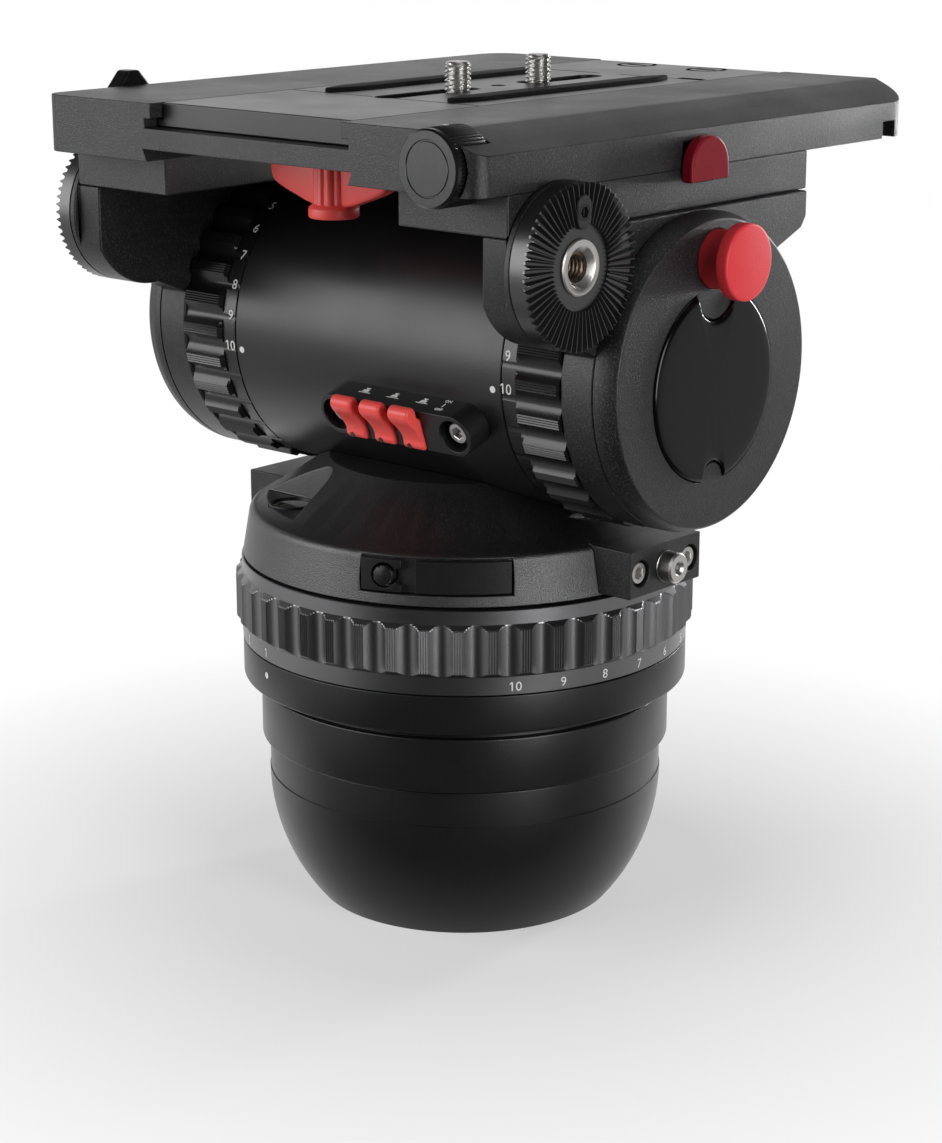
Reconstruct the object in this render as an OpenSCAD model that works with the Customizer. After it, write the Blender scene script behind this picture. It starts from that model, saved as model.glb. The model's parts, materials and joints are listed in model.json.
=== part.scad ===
// Fluid video head: half-ball base, pan housing, tilt tube and camera platform.
// Frame: +X along the tilt axis to the operator's right, -Y towards the operator, +Z up.
// The pan axis is X = Y = 0, and the flat foot of the half-ball stands on Z = 0.

/* [Base] */
// Radius of the half-ball and of the lower cylinder, for a 150 mm bowl
ball_r = 74.3; // [70:0.1:74.8]
// Height of the bowl rim above the flat foot
rim_z = 48; // [40:1:56]
// Height of the lower cylinder above the bowl rim
low_h = 14; // [10:1:20]
// Radius of the upper cylinder
step_r = 76.8; // [75:0.1:79]
// Height of the upper cylinder
step_h = 20; // [14:1:28]
// Height of the groove under the index collar
groove_h = 4; // [2:0.5:6]
// Height of the index collar
collar_h = 14; // [10:1:18]
// Radius of the index collar and of the pan ring's plain bands
collar_r = 83.2; // [81:0.1:84]
// Radius of the spigot that carries the collar and the pan ring
spigot_r = 72; // [68:0.5:73]
// Radius of the threaded tie-down hole (M12)
tie_r = 6; // [5:0.5:8]
// Depth of the tie-down hole
tie_depth = 18; // [12:1:22]

/* [Pan ring] */
// Height of the pan drag ring
pan_ring_h = 32; // [26:1:36]
// Height of the plain band under the ribs
pan_band_low = 7; // [4:0.5:10]
// Height of the plain band above the ribs
pan_band_high = 6; // [4:0.5:10]
// How far the ribs stand out
rib_h = 2.2; // [1:0.1:3]
// Number of ribs round the pan ring
pan_ribs = 45; // [24:1:60]

/* [Pan housing] */
// Radius of the skirt at its lower edge
skirt_r = 82.6; // [81:0.1:84]
// Radius of the skirt at its rim
skirt_top_r = 80; // [78:0.1:82]
// Height of the skirt's wall
skirt_h = 18; // [14:1:22]
// Radius of the neck under the tilt tube
neck_r = 50; // [44:1:58]
// Radius of the hollow inside the skirt
skirt_hollow_r = 72.5; // [70:0.5:74]
// Half width of a brake block
block_half = 20; // [16:1:24]
// How far a brake block's face stands out from the skirt's rim
block_out = 14; // [10:0.5:18]
// Height of a brake block
block_h = 17; // [14:1:18]
// Spacing of a brake block's screws
block_screw_pitch = 28; // [24:1:32]
// Radius of the bubble level's vial
vial_r = 7.3; // [5:0.1:9]
// Height of the switch and battery panel
panel_h = 12.5; // [10:0.5:14]
// Radius of the light button
button_r = 3.7; // [3:0.1:5]

/* [Tilt tube] */
// Height of the tilt axis above the pan ring's top
tilt_rise = 80; // [78:1:90]
// Radius of the tilt tube
tube_r = 54; // [50:0.5:55]
// Half length of the tilt tube
tube_half = 64; // [60:1:70]
// Radius of the spigots that carry the two tilt rings
tube_spigot_r = 45; // [42:0.5:47]
// Radius of the tube's bore
tube_bore_r = 38; // [34:0.5:40]
// Width of a tilt ring's number band
tilt_band_w = 6.5; // [4:0.5:9]
// Width of a tilt ring's ribbed part
tilt_rib_w = 19.5; // [15:0.5:24]
// Number of ribs round a tilt ring
tilt_ribs = 30; // [20:1:40]
// Radius of the tilt axle
axle_r = 11; // [8:0.5:14]

/* [Spring levers] */
// Middle of the lever housing along the tube
lever_box_x = 21; // [10:1:26]
// Length of the lever housing
lever_box_l = 70.5; // [68:0.5:76]
// Height of the lever housing round the tube
lever_box_h = 15.5; // [15:0.5:20]
// How far the lever housing stands out from the tube
lever_box_out = 10; // [9.5:0.5:11]
// Angle of the lever housing below the tilt axis
lever_box_angle = 19; // [15:1:24]
// Spacing of the three levers
lever_pitch = 13.6; // [12.5:0.1:14]
// Width of a lever
lever_w = 9.3; // [7:0.1:9.5]
// Radius of the lever pin
lever_pin_r = 1.5; // [1:0.1:2]

/* [Tilt arms] */
// Thickness of an arm
arm_t = 13.5; // [11:0.5:16]
// Radius of an arm's hub and of the end cap
hub_r = 55; // [53:0.5:55.5]
// Thickness of an end cap
cap_t = 8.7; // [6:0.1:12]
// Radius of an end cap's flat face
cap_face_r = 52.6; // [48:0.1:54]
// Radius of the badge disc
badge_r = 33.5; // [28:0.5:36]
// How far the badge sits below the tilt axis
badge_drop = 3.5; // [0:0.5:5]
// Distance of the rosettes' axis behind the tilt axis
rosette_back = 69.7; // [64:0.1:76]
// Height of the rosettes' axis above the tilt axis
rosette_rise = 44.7; // [40:0.1:48]
// Radius of a rosette
rosette_r = 26.9; // [24:0.1:28]
// Thickness of a rosette
rosette_t = 7.2; // [5:0.1:9]
// Radius of the rosettes' threaded hole (3/8 inch)
handle_thread_r = 4.76; // [3:0.01:6]
// Height of the tilt brake knob above the tilt axis
brake_rise = 39.5; // [37:0.5:40]
// Radius of the tilt brake knob's head
brake_r = 13; // [11:0.5:15]

/* [Platform] */
// Height of the slabs' underside above the tilt axis
slab_rise = 55.2; // [55:0.1:58]
// Height of a slab
slab_h = 13.5; // [12:0.1:18]
// Distance of a slab's inner side from the middle
slab_in = 55; // [52:1:60]
// Distance of the slabs' near end from the tilt axis
slab_near = 94; // [90:1:98]
// Distance of the slabs' far end from the tilt axis
slab_far = 69; // [60:0.5:74]
// Half width of the platform and of the two slabs
plat_half = 101.2; // [96:0.1:103]
// Distance of the platform's near end from the tilt axis
plat_near = 108.2; // [104:0.2:112]
// Distance of the platform's far end from the tilt axis
plat_far = 136.5; // [128:0.5:150]
// Height of the platform
plat_h = 19.9; // [17:0.1:24]
// Middle of the plate channel across the platform
chan_x = -1; // [-6:0.5:2]
// Half width of the plate channel at the top
chan_half = 45; // [40:0.5:48]
// Depth of the undercuts at each side of the channel
undercut = 3; // [2:0.5:4]
// Height of the undercuts
undercut_h = 3.2; // [2.4:0.1:4]
// Thickness of the web under the channel
web_t = 7.2; // [5:0.1:9]
// Depth of the dovetail recess under the web
tail_h = 4.2; // [3:0.1:6]
// Width of the sloped bevel on the right rail
bevel_w = 16; // [8:0.5:20]
// Height of the sloped bevel on the right rail
bevel_h = 7; // [4:0.5:9]
// Radius of the platform's near corners
near_corner_r = 6.5; // [3:0.5:9]
// Radius of the platform's far corners
far_corner_r = 12; // [4:0.5:16]

/* [Camera plate] */
// Length of the camera plate
plate_l = 236; // [200:1:240]
// How far the plate's near end sits back from the platform's
plate_back = 5.6; // [0:0.2:10]
// Radius of the camera screws (3/8 inch)
camera_screw_r = 4.76; // [3:0.01:5]
// How far the camera screws stand above the plate
camera_screw_h = 10; // [6:0.5:14]
// Half spacing of the rubber pads
pad_half = 29; // [24:0.5:34]
// Width of a rubber pad
pad_w = 9; // [6:0.5:12]
// Length of a rubber pad
pad_l = 121; // [100:1:130]
// Height of a rubber pad
pad_h = 1.4; // [0.8:0.1:2]

/* [Platform controls] */
// Radius of the thumbwheel
wheel_r = 12.6; // [11:0.1:13]
// Distance of the thumbwheel's axis from the platform's right side
wheel_in = 17.5; // [16:0.5:22]
// Width of the release latch
latch_w = 21; // [16:0.5:23]
// Travel of the release latch
latch_travel = 8; // [4:1:9]
// Distance of the wing lever behind the tilt axis
wing_back = 66; // [62:1:74]
// Half span of the wing lever
wing_half = 28; // [18:1:32]
// Distance of the clamp lever's pivot behind the tilt axis
clamp_back = 12; // [4:1:20]
// Distance from the clamp lever's pivot to its grip
clamp_l = 52; // [44:1:58]

/* [Hidden] */
$fn = 96;

// Gap of a push fit, of a running bore, and between parts that move past each other
fit = 0.05;
run = 0.05;
gap = 0.4;
eps = 0.01;

// Heights up the pan axis
low_z = rim_z + low_h;
step_z = low_z + step_h;
collar_z = step_z + groove_h;
ring_z = collar_z + collar_h;
skirt_z = ring_z + pan_ring_h;
rim_top_z = skirt_z + skirt_h;
tilt_z = skirt_z + tilt_rise;

// Half-ball, its flat foot, and the hollow for the pan drag
rim_step = 0.3;
drag_hollow_r = spigot_r - 12;
drag_floor_z = rim_z - 8;
spindle_r = 15;
spindle_foot_z = tie_depth + 10;
spindle_top_z = rim_top_z + 4;
rotor_r = drag_hollow_r - 7;
rotor_hub_r = 22;
plate_gap = 0.5;
rotor_t = 6;
rotor_z = drag_floor_z + 14;
stator_r = rotor_hub_r + 2;
stator_cap_t = 8;
insert_wall = 4.5;
insert_in = 2;
bearing_r = rotor_hub_r;
bearing_t = 6;
bearing_low_z = skirt_z + 2;
groove_in = 2.6;

// Tilt stations along X
ring_x = tube_half + 0.3;
ring_end = ring_x + tilt_band_w + tilt_rib_w;
arm_in = ring_end + 0.3;
arm_out = arm_in + arm_t;
cap_out = arm_out + cap_t;
spigot_end = arm_in - 2;
rosette_in = arm_out + 0.4;
rosette_out = rosette_in + rosette_t;
rosette_z = tilt_z + rosette_rise;
rosette_neck_r = rosette_r - 7;
flange_t = 10;
cap_step = 3;
rosette_hub_r = 14;
rosette_dish = 1.5;
key_up = 17.5;
key_r = 3.6;
key_half = 2;
key_depth = 3;
key_out = 0.5;
brake_stem_r = 10;
brake_stem_out = cap_out + 8.5;
brake_head_t = 5;
badge_seat = 2;
badge_dome = 1.2;
notch_top_r = 10.5;
notch_low_r = 6.2;
notch_gap = 0.3;

// Socket screws: shank, head, counterbore, hexagon
screw_r = 2.5;
cap_head_r = 4;
cap_head_h = 4;
cap_room_r = 4.7;
hex_r = 2;
small_hex_r = 1.6;

// Brake blocks and their studs
block_face = skirt_top_r + block_out;
block_z = skirt_z + 1;
block_mid = block_z + block_h / 2;
block_sink = 5;
stud_r = 5.5;
stud_seat = 8;
stud_out = 6;
stud_hole_r = 1.6;

// Platform heights
slab_z = tilt_z + slab_rise;
plat_z = slab_z + slab_h;
plat_top = plat_z + plat_h;
web_z = plat_z + tail_h;
floor_z = web_z + web_t;
undercut_z = floor_z + undercut_h;
tail_half = chan_half + 4.2;
tail_neck = 1.9;
slab_relief_r = tube_r + rib_h + 1.2;
slab_out = plat_half;
arm_far = slab_far - 3.5;
slab_screw_y = [-72, 56];
slab_mid = slab_in + 12;
plate_fit = 0.35;
wheel_x = plat_half - wheel_in;
wheel_z = plat_top - wheel_r + 1.2;
wheel_y = -plat_near - 3.4;
wheel_l = plat_near + 3.4 - slab_near - 1;
wheel_pin_r = 4;
wheel_pin_l = 30;
wheel_seat_end = wheel_y + wheel_l + 0.5;
wheel_face_h = 2;
wheel_ring_r = 8.6;
wheel_knurls = 60;
latch_z = plat_z - 4.3;
latch_r = latch_w / 2 - 0.2;
latch_top = plat_z + 10.9;
latch_y = 4.5;
latch_foot_y = latch_y - 0.5;
latch_foot_w = 9;
pocket_floor = plat_half - 2.2;
pocket_z = plat_z + 0.8;
pocket_h = 8.2;
latch_in = pocket_floor + gap;
latch_out = plat_half + 5.1;
wing_col_r = 7;
wing_flange_r = 8.8;
wing_pin_r = 4;
wing_t = 6;
wing_taper = 2.5;
wing_flange_h = 4;
wing_drop = 18.9;
wing_z = plat_z - wing_drop;
wing_blade_z = plat_z - 8;
wing_blade_top = web_z - gap;
clamp_z = plat_z + 10;
clamp_hub_r = 8;
clamp_in = plat_half + gap;
clamp_out = plat_half + 9;
clamp_bar_t = 6;
clamp_pin_r = 4;
clamp_pin_l = 18;
clamp_bar_h = 9.5;
grip_half = 8.5;
grip_rise = 15;
grip_drop = 5;
plate_near = -plat_near + plate_back;
pad_start = -39;
pad_point = 9;
groove_half = 7.5;
screw_head_h = 3;
screw_head_r = 6.8;
screw_neck = 0.4;
screw_hex_r = 2.5;
plate_hole_r = 2.6;
near_screw_y = -2;
far_screw_y = 42.5;
near_slot = [-38, 2];
far_slot = [38, 72];

// Skirt's rounded rim and the top of its neck
shoulder_r = 3;
neck_top_z = tilt_z - tube_r + 10;

// Skirt panel, as angles from -Y towards +X
panel_from = 15;
switch_to = 26;
cover_from = 29.5;
panel_to = 53.5;
button_az = 21.5;
cover_az = (cover_from + panel_to) / 2;
panel_z = skirt_z + 4;
panel_mid = panel_z + panel_h / 2;
skirt_mid_r = skirt_r + (skirt_top_r - skirt_r) * (panel_mid - skirt_z) / (skirt_h - shoulder_r);
panel_sink = 2;
panel_proud = 0.9;
panel_in = skirt_mid_r - panel_sink;
panel_out = skirt_mid_r + panel_proud;
panel_line = 0.5;
cell_r = 5.8;
cell_t = 5.4;
cell_gap = 0.2;
button_l = 4;
button_travel = 1;
button_ring = 0.8;
button_proud = 1.4;
dome_r = 2.6 * button_r;
finger_r = 3;
vial_x = -35.7;
vial_y = -54.6;
scoop_x = -19.2;
scoop_y = -45.2;
scoop_r = 9;
vial_z = rim_top_z + 2.5;
vial_sink = 4;
vial_h = 4.3;
bezel_h = 4.6;
scoop_h = tilt_z - vial_z;
bezel_w = 1.2;

// Lever housing in a frame turned about the tilt axis: x out from the axis, y up round the tube
box_foot = tube_r - 5;
box_face = tube_r + lever_box_out;
lever_hub_out = box_face - 3.6;
lever_hub_up = 1.5;
lever_hub_r = 3.1;
lever_slot = lever_w + 0.8;
lever_slot_top = lever_hub_up + lever_hub_r + 1;
lever_mid_x = lever_box_x - 5;
slot_floor = box_face - 7;
pin_from = lever_mid_x - lever_pitch - lever_w / 2 + 0.3;
pin_l = 40;
housing_room_r = 6;
housing_head_sink = 2.4;
housing_head_z = box_face - housing_head_sink - cap_head_h;

steel = "silver";
black = [0.10, 0.10, 0.11];
red = [0.80, 0.10, 0.10];

// A profile in X and Z carried along Y
module along_y(y, len) {
    translate([0, y + len, 0]) rotate([90, 0, 0]) linear_extrude(len) children();
}

// A profile in Y and Z carried along X
module along_x(x, len) {
    translate([x, 0, 0]) rotate([90, 0, 90]) linear_extrude(len) children();
}

// A round bar along X, at a place in Y and Z
module bar_x(x, len, r, y = 0, z = tilt_z) {
    translate([x, y, z]) rotate([0, 90, 0]) cylinder(r = r, h = len);
}

// A round bar along Y
module bar_y(y, len, r, x, z) {
    translate([x, y + len, z]) rotate([90, 0, 0]) cylinder(r = r, h = len);
}

// A plain tube standing on z
module tube(z, h, r_out, r_in) {
    difference() {
        translate([0, 0, z]) cylinder(r = r_out, h = h);
        translate([0, 0, z - 1]) cylinder(r = r_in, h = h + 2);
    }
}

// A plain tube along X
module tube_x(x, len, r_out, r_in) {
    difference() {
        bar_x(x, len, r_out);
        bar_x(x - 1, len + 2, r_in);
    }
}

// Something turned to an angle from -Y towards +X
module at_azimuth(a) {
    rotate([0, 0, a - 90]) children();
}

// Part of a ring between two azimuths
module sector(a0, a1, r0, r1, z, h) {
    at_azimuth(a0) rotate_extrude(angle = a1 - a0) translate([r0, z]) square([r1 - r0, h]);
}

// A round bar pointing out from the pan axis
module spoke(a, r0, r1, r, z) {
    at_azimuth(a) bar_x(r0, r1 - r0, r, 0, z);
}

// Both sides of the head, left one mirrored
module both() {
    children();
    mirror([1, 0, 0]) children();
}

module side(s) {
    if (s > 0) children();
    else mirror([1, 0, 0]) children();
}

// Outline of a ribbed ring: each rib is a flat land with sloped flanks
function rib_points(n, r0, r1) = [for (i = [0 : n - 1], k = [0 : 3])
    let (a = (i + [0.14, 0.24, 0.76, 0.86][k]) * 360 / n, r = (k == 0 || k == 3) ? r0 : r1)
    [r * cos(a), r * sin(a)]];

// A rectangle with its own corner radii: [near right, far right, far left, near left]
function corner(cx, cy, r, a0) = [for (a = [a0 : 11.25 : a0 + 90]) [cx + r * cos(a), cy + r * sin(a)]];
function plan_points(x, y0, y1, rn, rf) = concat(
    corner(x - rn, y0 + rn, rn, -90), corner(x - rf, y1 - rf, rf, 0),
    corner(-x + rf, y1 - rf, rf, 90), corner(-x + rn, y0 + rn, rn, 180));

module bowl_base() {
    color(black) difference() {
        union() {
            intersection() {
                translate([0, 0, rim_z]) sphere(r = ball_r);
                cylinder(r = ball_r + 1, h = rim_z);
            }
            translate([0, 0, rim_z - 1]) cylinder(r = ball_r - rim_step, h = low_h + 1 + eps);
            translate([0, 0, low_z]) cylinder(r = step_r, h = step_h);
            translate([0, 0, step_z - eps]) cylinder(r = step_r - groove_in, h = groove_h + eps);
            translate([0, 0, collar_z - eps]) cylinder(r = spigot_r, h = collar_h + pan_ring_h - 1.5);
        }
        translate([0, 0, drag_floor_z]) cylinder(r = drag_hollow_r, h = skirt_z);
        translate([0, 0, spindle_foot_z]) cylinder(r = spindle_r + fit, h = drag_floor_z);
        translate([0, 0, -1]) cylinder(r = tie_r + insert_wall + fit, h = tie_depth + 1);
    }
}

module index_collar() {
    color(black) tube(collar_z, collar_h, collar_r, spigot_r + fit);
}

module tie_down_insert() {
    color(steel) tube(0, tie_depth, tie_r + insert_wall, tie_r);
}

module pan_spindle() {
    color(steel) translate([0, 0, spindle_foot_z]) cylinder(r = spindle_r, h = spindle_top_z - spindle_foot_z);
}

module pan_drag_stator() {
    color("dimgray") union() {
        tube(drag_floor_z, rotor_z - plate_gap - drag_floor_z, drag_hollow_r - fit, stator_r);
        tube(rotor_z - plate_gap - eps, rotor_t + 2 * plate_gap + 2 * eps, drag_hollow_r - fit, rotor_r + 1);
        tube(rotor_z + rotor_t + plate_gap, stator_cap_t, drag_hollow_r - fit, stator_r);
    }
}

module pan_drag_ring() {
    low = ring_z + 0.3;
    top = skirt_z - 0.3;
    color(black) difference() {
        union() {
            translate([0, 0, low]) cylinder(r = collar_r, h = top - low);
            translate([0, 0, ring_z + pan_band_low])
                linear_extrude(pan_ring_h - pan_band_low - pan_band_high)
                    polygon(rib_points(pan_ribs, collar_r - 0.8, collar_r + rib_h));
        }
        translate([0, 0, ring_z - 1]) cylinder(r = spigot_r + gap, h = pan_ring_h + 2);
    }
}

// Outside of the skirt and shoulder, grown for what fits round it
module skirt_solid(grow = 0) {
    rotate_extrude() polygon(concat(
        [[0, skirt_z], [skirt_r + grow, skirt_z], [skirt_top_r + grow, rim_top_z - shoulder_r]],
        [for (a = [15 : 15 : 75])
            [skirt_top_r + grow - shoulder_r * (1 - cos(a)), rim_top_z - shoulder_r * (1 - sin(a))]],
        [[skirt_top_r + grow - shoulder_r, rim_top_z + grow], [neck_r + grow, neck_top_z], [0, neck_top_z]]));
}

module pan_housing() {
    color(black) difference() {
        skirt_solid();
        // Saddle for the tube and room for the two tilt rings
        bar_x(-tube_half - 0.4, 2 * tube_half + 0.8, tube_r + fit);
        both() bar_x(tube_half - 0.2, tube_half, slab_relief_r);
        // Hollow over the base spigot, bearing seat and spindle room
        translate([0, 0, skirt_z - 1]) cylinder(r = skirt_hollow_r, h = 3);
        translate([0, 0, skirt_z - 1]) cylinder(r = bearing_r + fit, h = rim_top_z - skirt_z + 8);
        // Scooped pocket with the bubble level
        translate([0, 0, vial_z]) linear_extrude(scoop_h) polygon(scoop_points());
        translate([vial_x, vial_y, vial_z - vial_sink]) cylinder(r = vial_r + bezel_w + fit, h = scoop_h);
        // Switch and battery panel
        sector(panel_from, panel_to, panel_in, skirt_r + 5, panel_z, panel_h);
        spoke(cover_az, panel_in - cell_t - cell_gap, panel_in + 1, cell_r + cell_gap, panel_mid);
        spoke(button_az, panel_in - button_l - button_travel - 0.5, panel_in + 1, button_r + gap, panel_mid);
    }
}

// Outline of the scooped pocket: open to the outside, with one round inner corner
function scoop_points() = concat([[-skirt_r, scoop_y], [-skirt_r, -skirt_r], [scoop_x, -skirt_r]],
    [for (a = [0 : 11.25 : 90]) [scoop_x - scoop_r + scoop_r * cos(a), scoop_y - scoop_r + scoop_r * sin(a)]]);

module pan_bearings() {
    color(steel) {
        tube(bearing_low_z, bearing_t, bearing_r, spindle_r + run);
        tube(rim_top_z - 4, bearing_t, bearing_r, spindle_r + run);
    }
}

module pan_drag_rotor() {
    color(steel) union() {
        tube(rotor_z, rotor_t, rotor_r, spindle_r + gap);
        tube(rotor_z + rotor_t - eps, bearing_low_z - rotor_z - rotor_t + eps,
            rotor_hub_r - 1, spindle_r + gap);
    }
}

module bubble_vial() {
    color("palegoldenrod") translate([vial_x, vial_y, vial_z - vial_sink]) cylinder(r = vial_r, h = vial_h);
}

module bubble_bezel() {
    color(black) translate([vial_x, vial_y, 0])
        tube(vial_z - vial_sink, bezel_h, vial_r + bezel_w, vial_r + fit);
}

module brake_block() {
    hole_y = block_screw_pitch / 2;
    color(black) difference() {
        translate([0, -block_half, block_z]) cube([block_face, 2 * block_half, block_h]);
        skirt_solid(fit);
        for (y = [-hole_y, hole_y]) {
            bar_x(block_face - block_sink, block_sink + 1, cap_room_r, y, block_mid);
            bar_x(skirt_top_r / 2, block_face, screw_r + fit, y, block_mid);
        }
        bar_x(block_face - stud_seat, stud_seat + 1, stud_r + fit, 0, block_mid);
    }
}

module left_brake_block() {
    side(-1) brake_block();
}

module right_brake_block() {
    side(1) brake_block();
}

// A socket screw along X, its head's outer face at x
module socket_screw(x, y, z, head_r, head_h, shank_r, shank_l) {
    difference() {
        union() {
            bar_x(x - head_h, head_h, head_r, y, z);
            bar_x(x - head_h - shank_l, shank_l + eps, shank_r, y, z);
        }
        translate([x - head_h * 0.6, y, z]) rotate([0, 90, 0]) cylinder(r = head_r * 0.5, h = head_h, $fn = 6);
    }
}

module block_screws() {
    color(steel) both() for (y = [-block_screw_pitch / 2, block_screw_pitch / 2])
        socket_screw(block_face - 1, y, block_mid, cap_head_r, cap_head_h, screw_r, 8);
}

module brake_studs() {
    color(steel) both() difference() {
        bar_x(block_face - stud_seat, stud_seat + stud_out, stud_r, 0, block_mid);
        bar_x(block_face + 1, stud_out, stud_hole_r, 0, block_mid);
    }
}

module light_switch_plate() {
    color(black) difference() {
        sector(panel_from + panel_line, switch_to, panel_in, panel_out,
            panel_z + panel_line, panel_h - 2 * panel_line);
        spoke(button_az, panel_in - 1, panel_out + 1, button_r + button_ring, panel_mid);
        spoke(switch_to, panel_in - 1, panel_out + 1, finger_r, panel_mid);
    }
}

module light_button() {
    color(black) intersection() {
        spoke(button_az, panel_in - button_l, panel_out + button_r, button_r, panel_mid);
        at_azimuth(button_az) translate([panel_out + button_proud - dome_r, 0, panel_mid]) sphere(r = dome_r);
    }
}

module battery_cover() {
    color(black) sector(cover_from, panel_to - panel_line, panel_in + fit, panel_out,
        panel_z + panel_line, panel_h - 2 * panel_line);
}

module coin_cell() {
    color(steel) spoke(cover_az, panel_in - cell_t - cell_gap, panel_in - cell_gap, cell_r, panel_mid);
}

module tilt_tube() {
    color(black) difference() {
        union() {
            bar_x(-tube_half, 2 * tube_half, tube_r);
            bar_x(-spigot_end, 2 * spigot_end, tube_spigot_r);
        }
        bar_x(-spigot_end - 1, 2 * spigot_end + 2, tube_bore_r);
        lever_box_space(fit);
    }
}

module tilt_bearings() {
    color(steel) both() tube_x(spigot_end - flange_t, flange_t, tube_bore_r - fit, axle_r + run);
}

module fluid_drag_cartridge() {
    color("dimgray") tube_x(6, spigot_end - flange_t - 6.2, tube_bore_r - fit, axle_r + gap);
}

module counterbalance_spring_pack() {
    color("dimgray") tube_x(-spigot_end + flange_t + 0.2, spigot_end - flange_t - 6.2,
        tube_bore_r - fit, axle_r + gap);
}

// A tilt ring on the right side: number band next to the tube, then the ribs
module tilt_ring() {
    color(black) difference() {
        union() {
            bar_x(ring_x, ring_end - ring_x, tube_r);
            translate([ring_x + tilt_band_w, 0, tilt_z]) rotate([0, 90, 0])
                linear_extrude(tilt_rib_w) polygon(rib_points(tilt_ribs, tube_r - 0.8, tube_r + rib_h));
        }
        bar_x(ring_x - 1, ring_end - ring_x + 2, tube_spigot_r + gap);
    }
}

module tilt_drag_ring() {
    side(1) tilt_ring();
}

module counterbalance_ring() {
    side(-1) tilt_ring();
}

// Turned frame: x along the tube, y out from the axis, z up round the tube
module on_tube() {
    translate([0, 0, tilt_z]) rotate([lever_box_angle, 0, 0]) mirror([0, 1, 0]) children();
}

// Rounded block that the housing fills, from inside the tube's wall to its face
module lever_box_space(grow = 0) {
    r = lever_box_h / 2;
    on_tube() for (x = [-1, 1])
        translate([lever_box_x + x * (lever_box_l / 2 - r), box_foot - grow, 0]) rotate([-90, 0, 0])
            cylinder(r = r + grow, h = box_face - box_foot + grow);
    on_tube() translate([lever_box_x - lever_box_l / 2 + r, box_foot - grow, -r - grow])
        cube([lever_box_l - 2 * r, box_face - box_foot + grow, 2 * (r + grow)]);
}

module lever_housing() {
    color(black) difference() {
        lever_box_space();
        for (i = [-1 : 1]) on_tube()
            translate([lever_mid_x + i * lever_pitch - lever_slot / 2, slot_floor, -lever_box_h])
                cube([lever_slot, 20, lever_box_h + lever_slot_top]);
        on_tube() translate([pin_from - 1, lever_hub_out, lever_hub_up]) rotate([0, 90, 0])
            cylinder(r = lever_pin_r + fit, h = pin_l + 1.2);
        for (s = [-1, 1]) on_tube() translate([housing_screw_x(s), 0, 0]) rotate([-90, 0, 0]) {
            translate([0, 0, box_foot - 1]) cylinder(r = screw_r + fit, h = 30);
            translate([0, 0, housing_head_z]) cylinder(r = housing_room_r, h = 30);
        }
    }
}

function housing_screw_x(s) = lever_box_x + s * (lever_box_l - lever_box_h) / 2;

module housing_screws() {
    color(steel) for (s = [-1, 1]) on_tube() translate([housing_screw_x(s), 0, 0]) rotate([-90, 0, 0])
        difference() {
            union() {
                translate([0, 0, box_foot]) cylinder(r = screw_r, h = housing_head_z - box_foot + eps);
                translate([0, 0, housing_head_z]) cylinder(r = cap_head_r, h = cap_head_h);
            }
            translate([0, 0, housing_head_z + 2]) cylinder(r = hex_r, h = 4, $fn = 6);
        }
}

module lever_pin() {
    color(steel) on_tube() translate([pin_from, lever_hub_out, lever_hub_up]) rotate([0, 90, 0])
        cylinder(r = lever_pin_r, h = pin_l);
}

// A curled flip lever: hub on the pin, a nose that stands up in front, a tip that hangs down
module spring_lever(i) {
    x = lever_mid_x + (i - 2) * lever_pitch - lever_w / 2;
    color(red) on_tube() translate([x, lever_hub_out, lever_hub_up])
        rotate([90, 0, 90]) difference() {
            union() {
                cylinder(r = lever_hub_r, h = lever_w);
                linear_extrude(lever_w) polygon(concat(
                    [[0, 3], [3, 3.1], [4.1, 3.9], [4.1, 6.9], [5.2, 8.6], [7.2, 8.7], [8.8, 7.6], [9.3, 5.8]],
                    [[8.8, 3.1], [7.2, -0.9], [5.8, -4.5], [4.8, -7.8], [3.6, -8.8], [2, -8.5]],
                    [[1.2, -5.5], [0, -3]]));
            }
            translate([0, 0, -1]) cylinder(r = lever_pin_r + run, h = lever_w + 2);
        }
}

module spring_lever_1() {
    spring_lever(1);
}

module spring_lever_2() {
    spring_lever(2);
}

module spring_lever_3() {
    spring_lever(3);
}

module tilt_axle() {
    color(steel) bar_x(-arm_out, 2 * arm_out, axle_r);
}

// An arm on the right side: hub, rosette boss and the cheek up to the slab
module arm() {
    color(black) difference() {
        union() {
            bar_x(arm_in, arm_t, hub_r);
            intersection() {
                bar_x(arm_in, arm_t, rosette_r, -rosette_back, rosette_z);
                translate([arm_in - 1, -slab_near, 0]) cube([arm_t + 2, slab_near, slab_z]);
            }
            bar_x(slab_out + fit, arm_out - slab_out - fit, rosette_r, -rosette_back, rosette_z);
            along_x(arm_in, arm_t) polygon([[-slab_near, slab_z - 8], [-slab_near, slab_z], [arm_far, slab_z],
                [arm_far, slab_z - 9], [arm_far - 3, slab_z - 13], [hub_r * 0.76, tilt_z + hub_r * 0.62],
                [0, tilt_z], [-hub_r * 0.76, tilt_z + 8], [-rosette_back - 2, rosette_z - rosette_r + 2]]);
        }
        bar_x(arm_in - 1, arm_t + 2, axle_r + fit);
        bar_x(arm_in + insert_in, arm_t, handle_thread_r + insert_wall + fit, -rosette_back, rosette_z);
        bar_x(arm_out - 10, 11, screw_r + fit, -rosette_back, rosette_z + key_up);
    }
}

module left_arm() {
    side(-1) arm();
}

module right_arm() {
    side(1) arm();
}

// An end cap: a short rim, then a bevel to the flat face
module end_cap() {
    translate([0, 0, tilt_z]) rotate([0, 90, 0]) rotate_extrude() polygon([[0, arm_out], [hub_r, arm_out],
        [hub_r, arm_out + cap_step], [cap_face_r + 0.8, cap_out - 1], [cap_face_r, cap_out], [0, cap_out]]);
}

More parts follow.
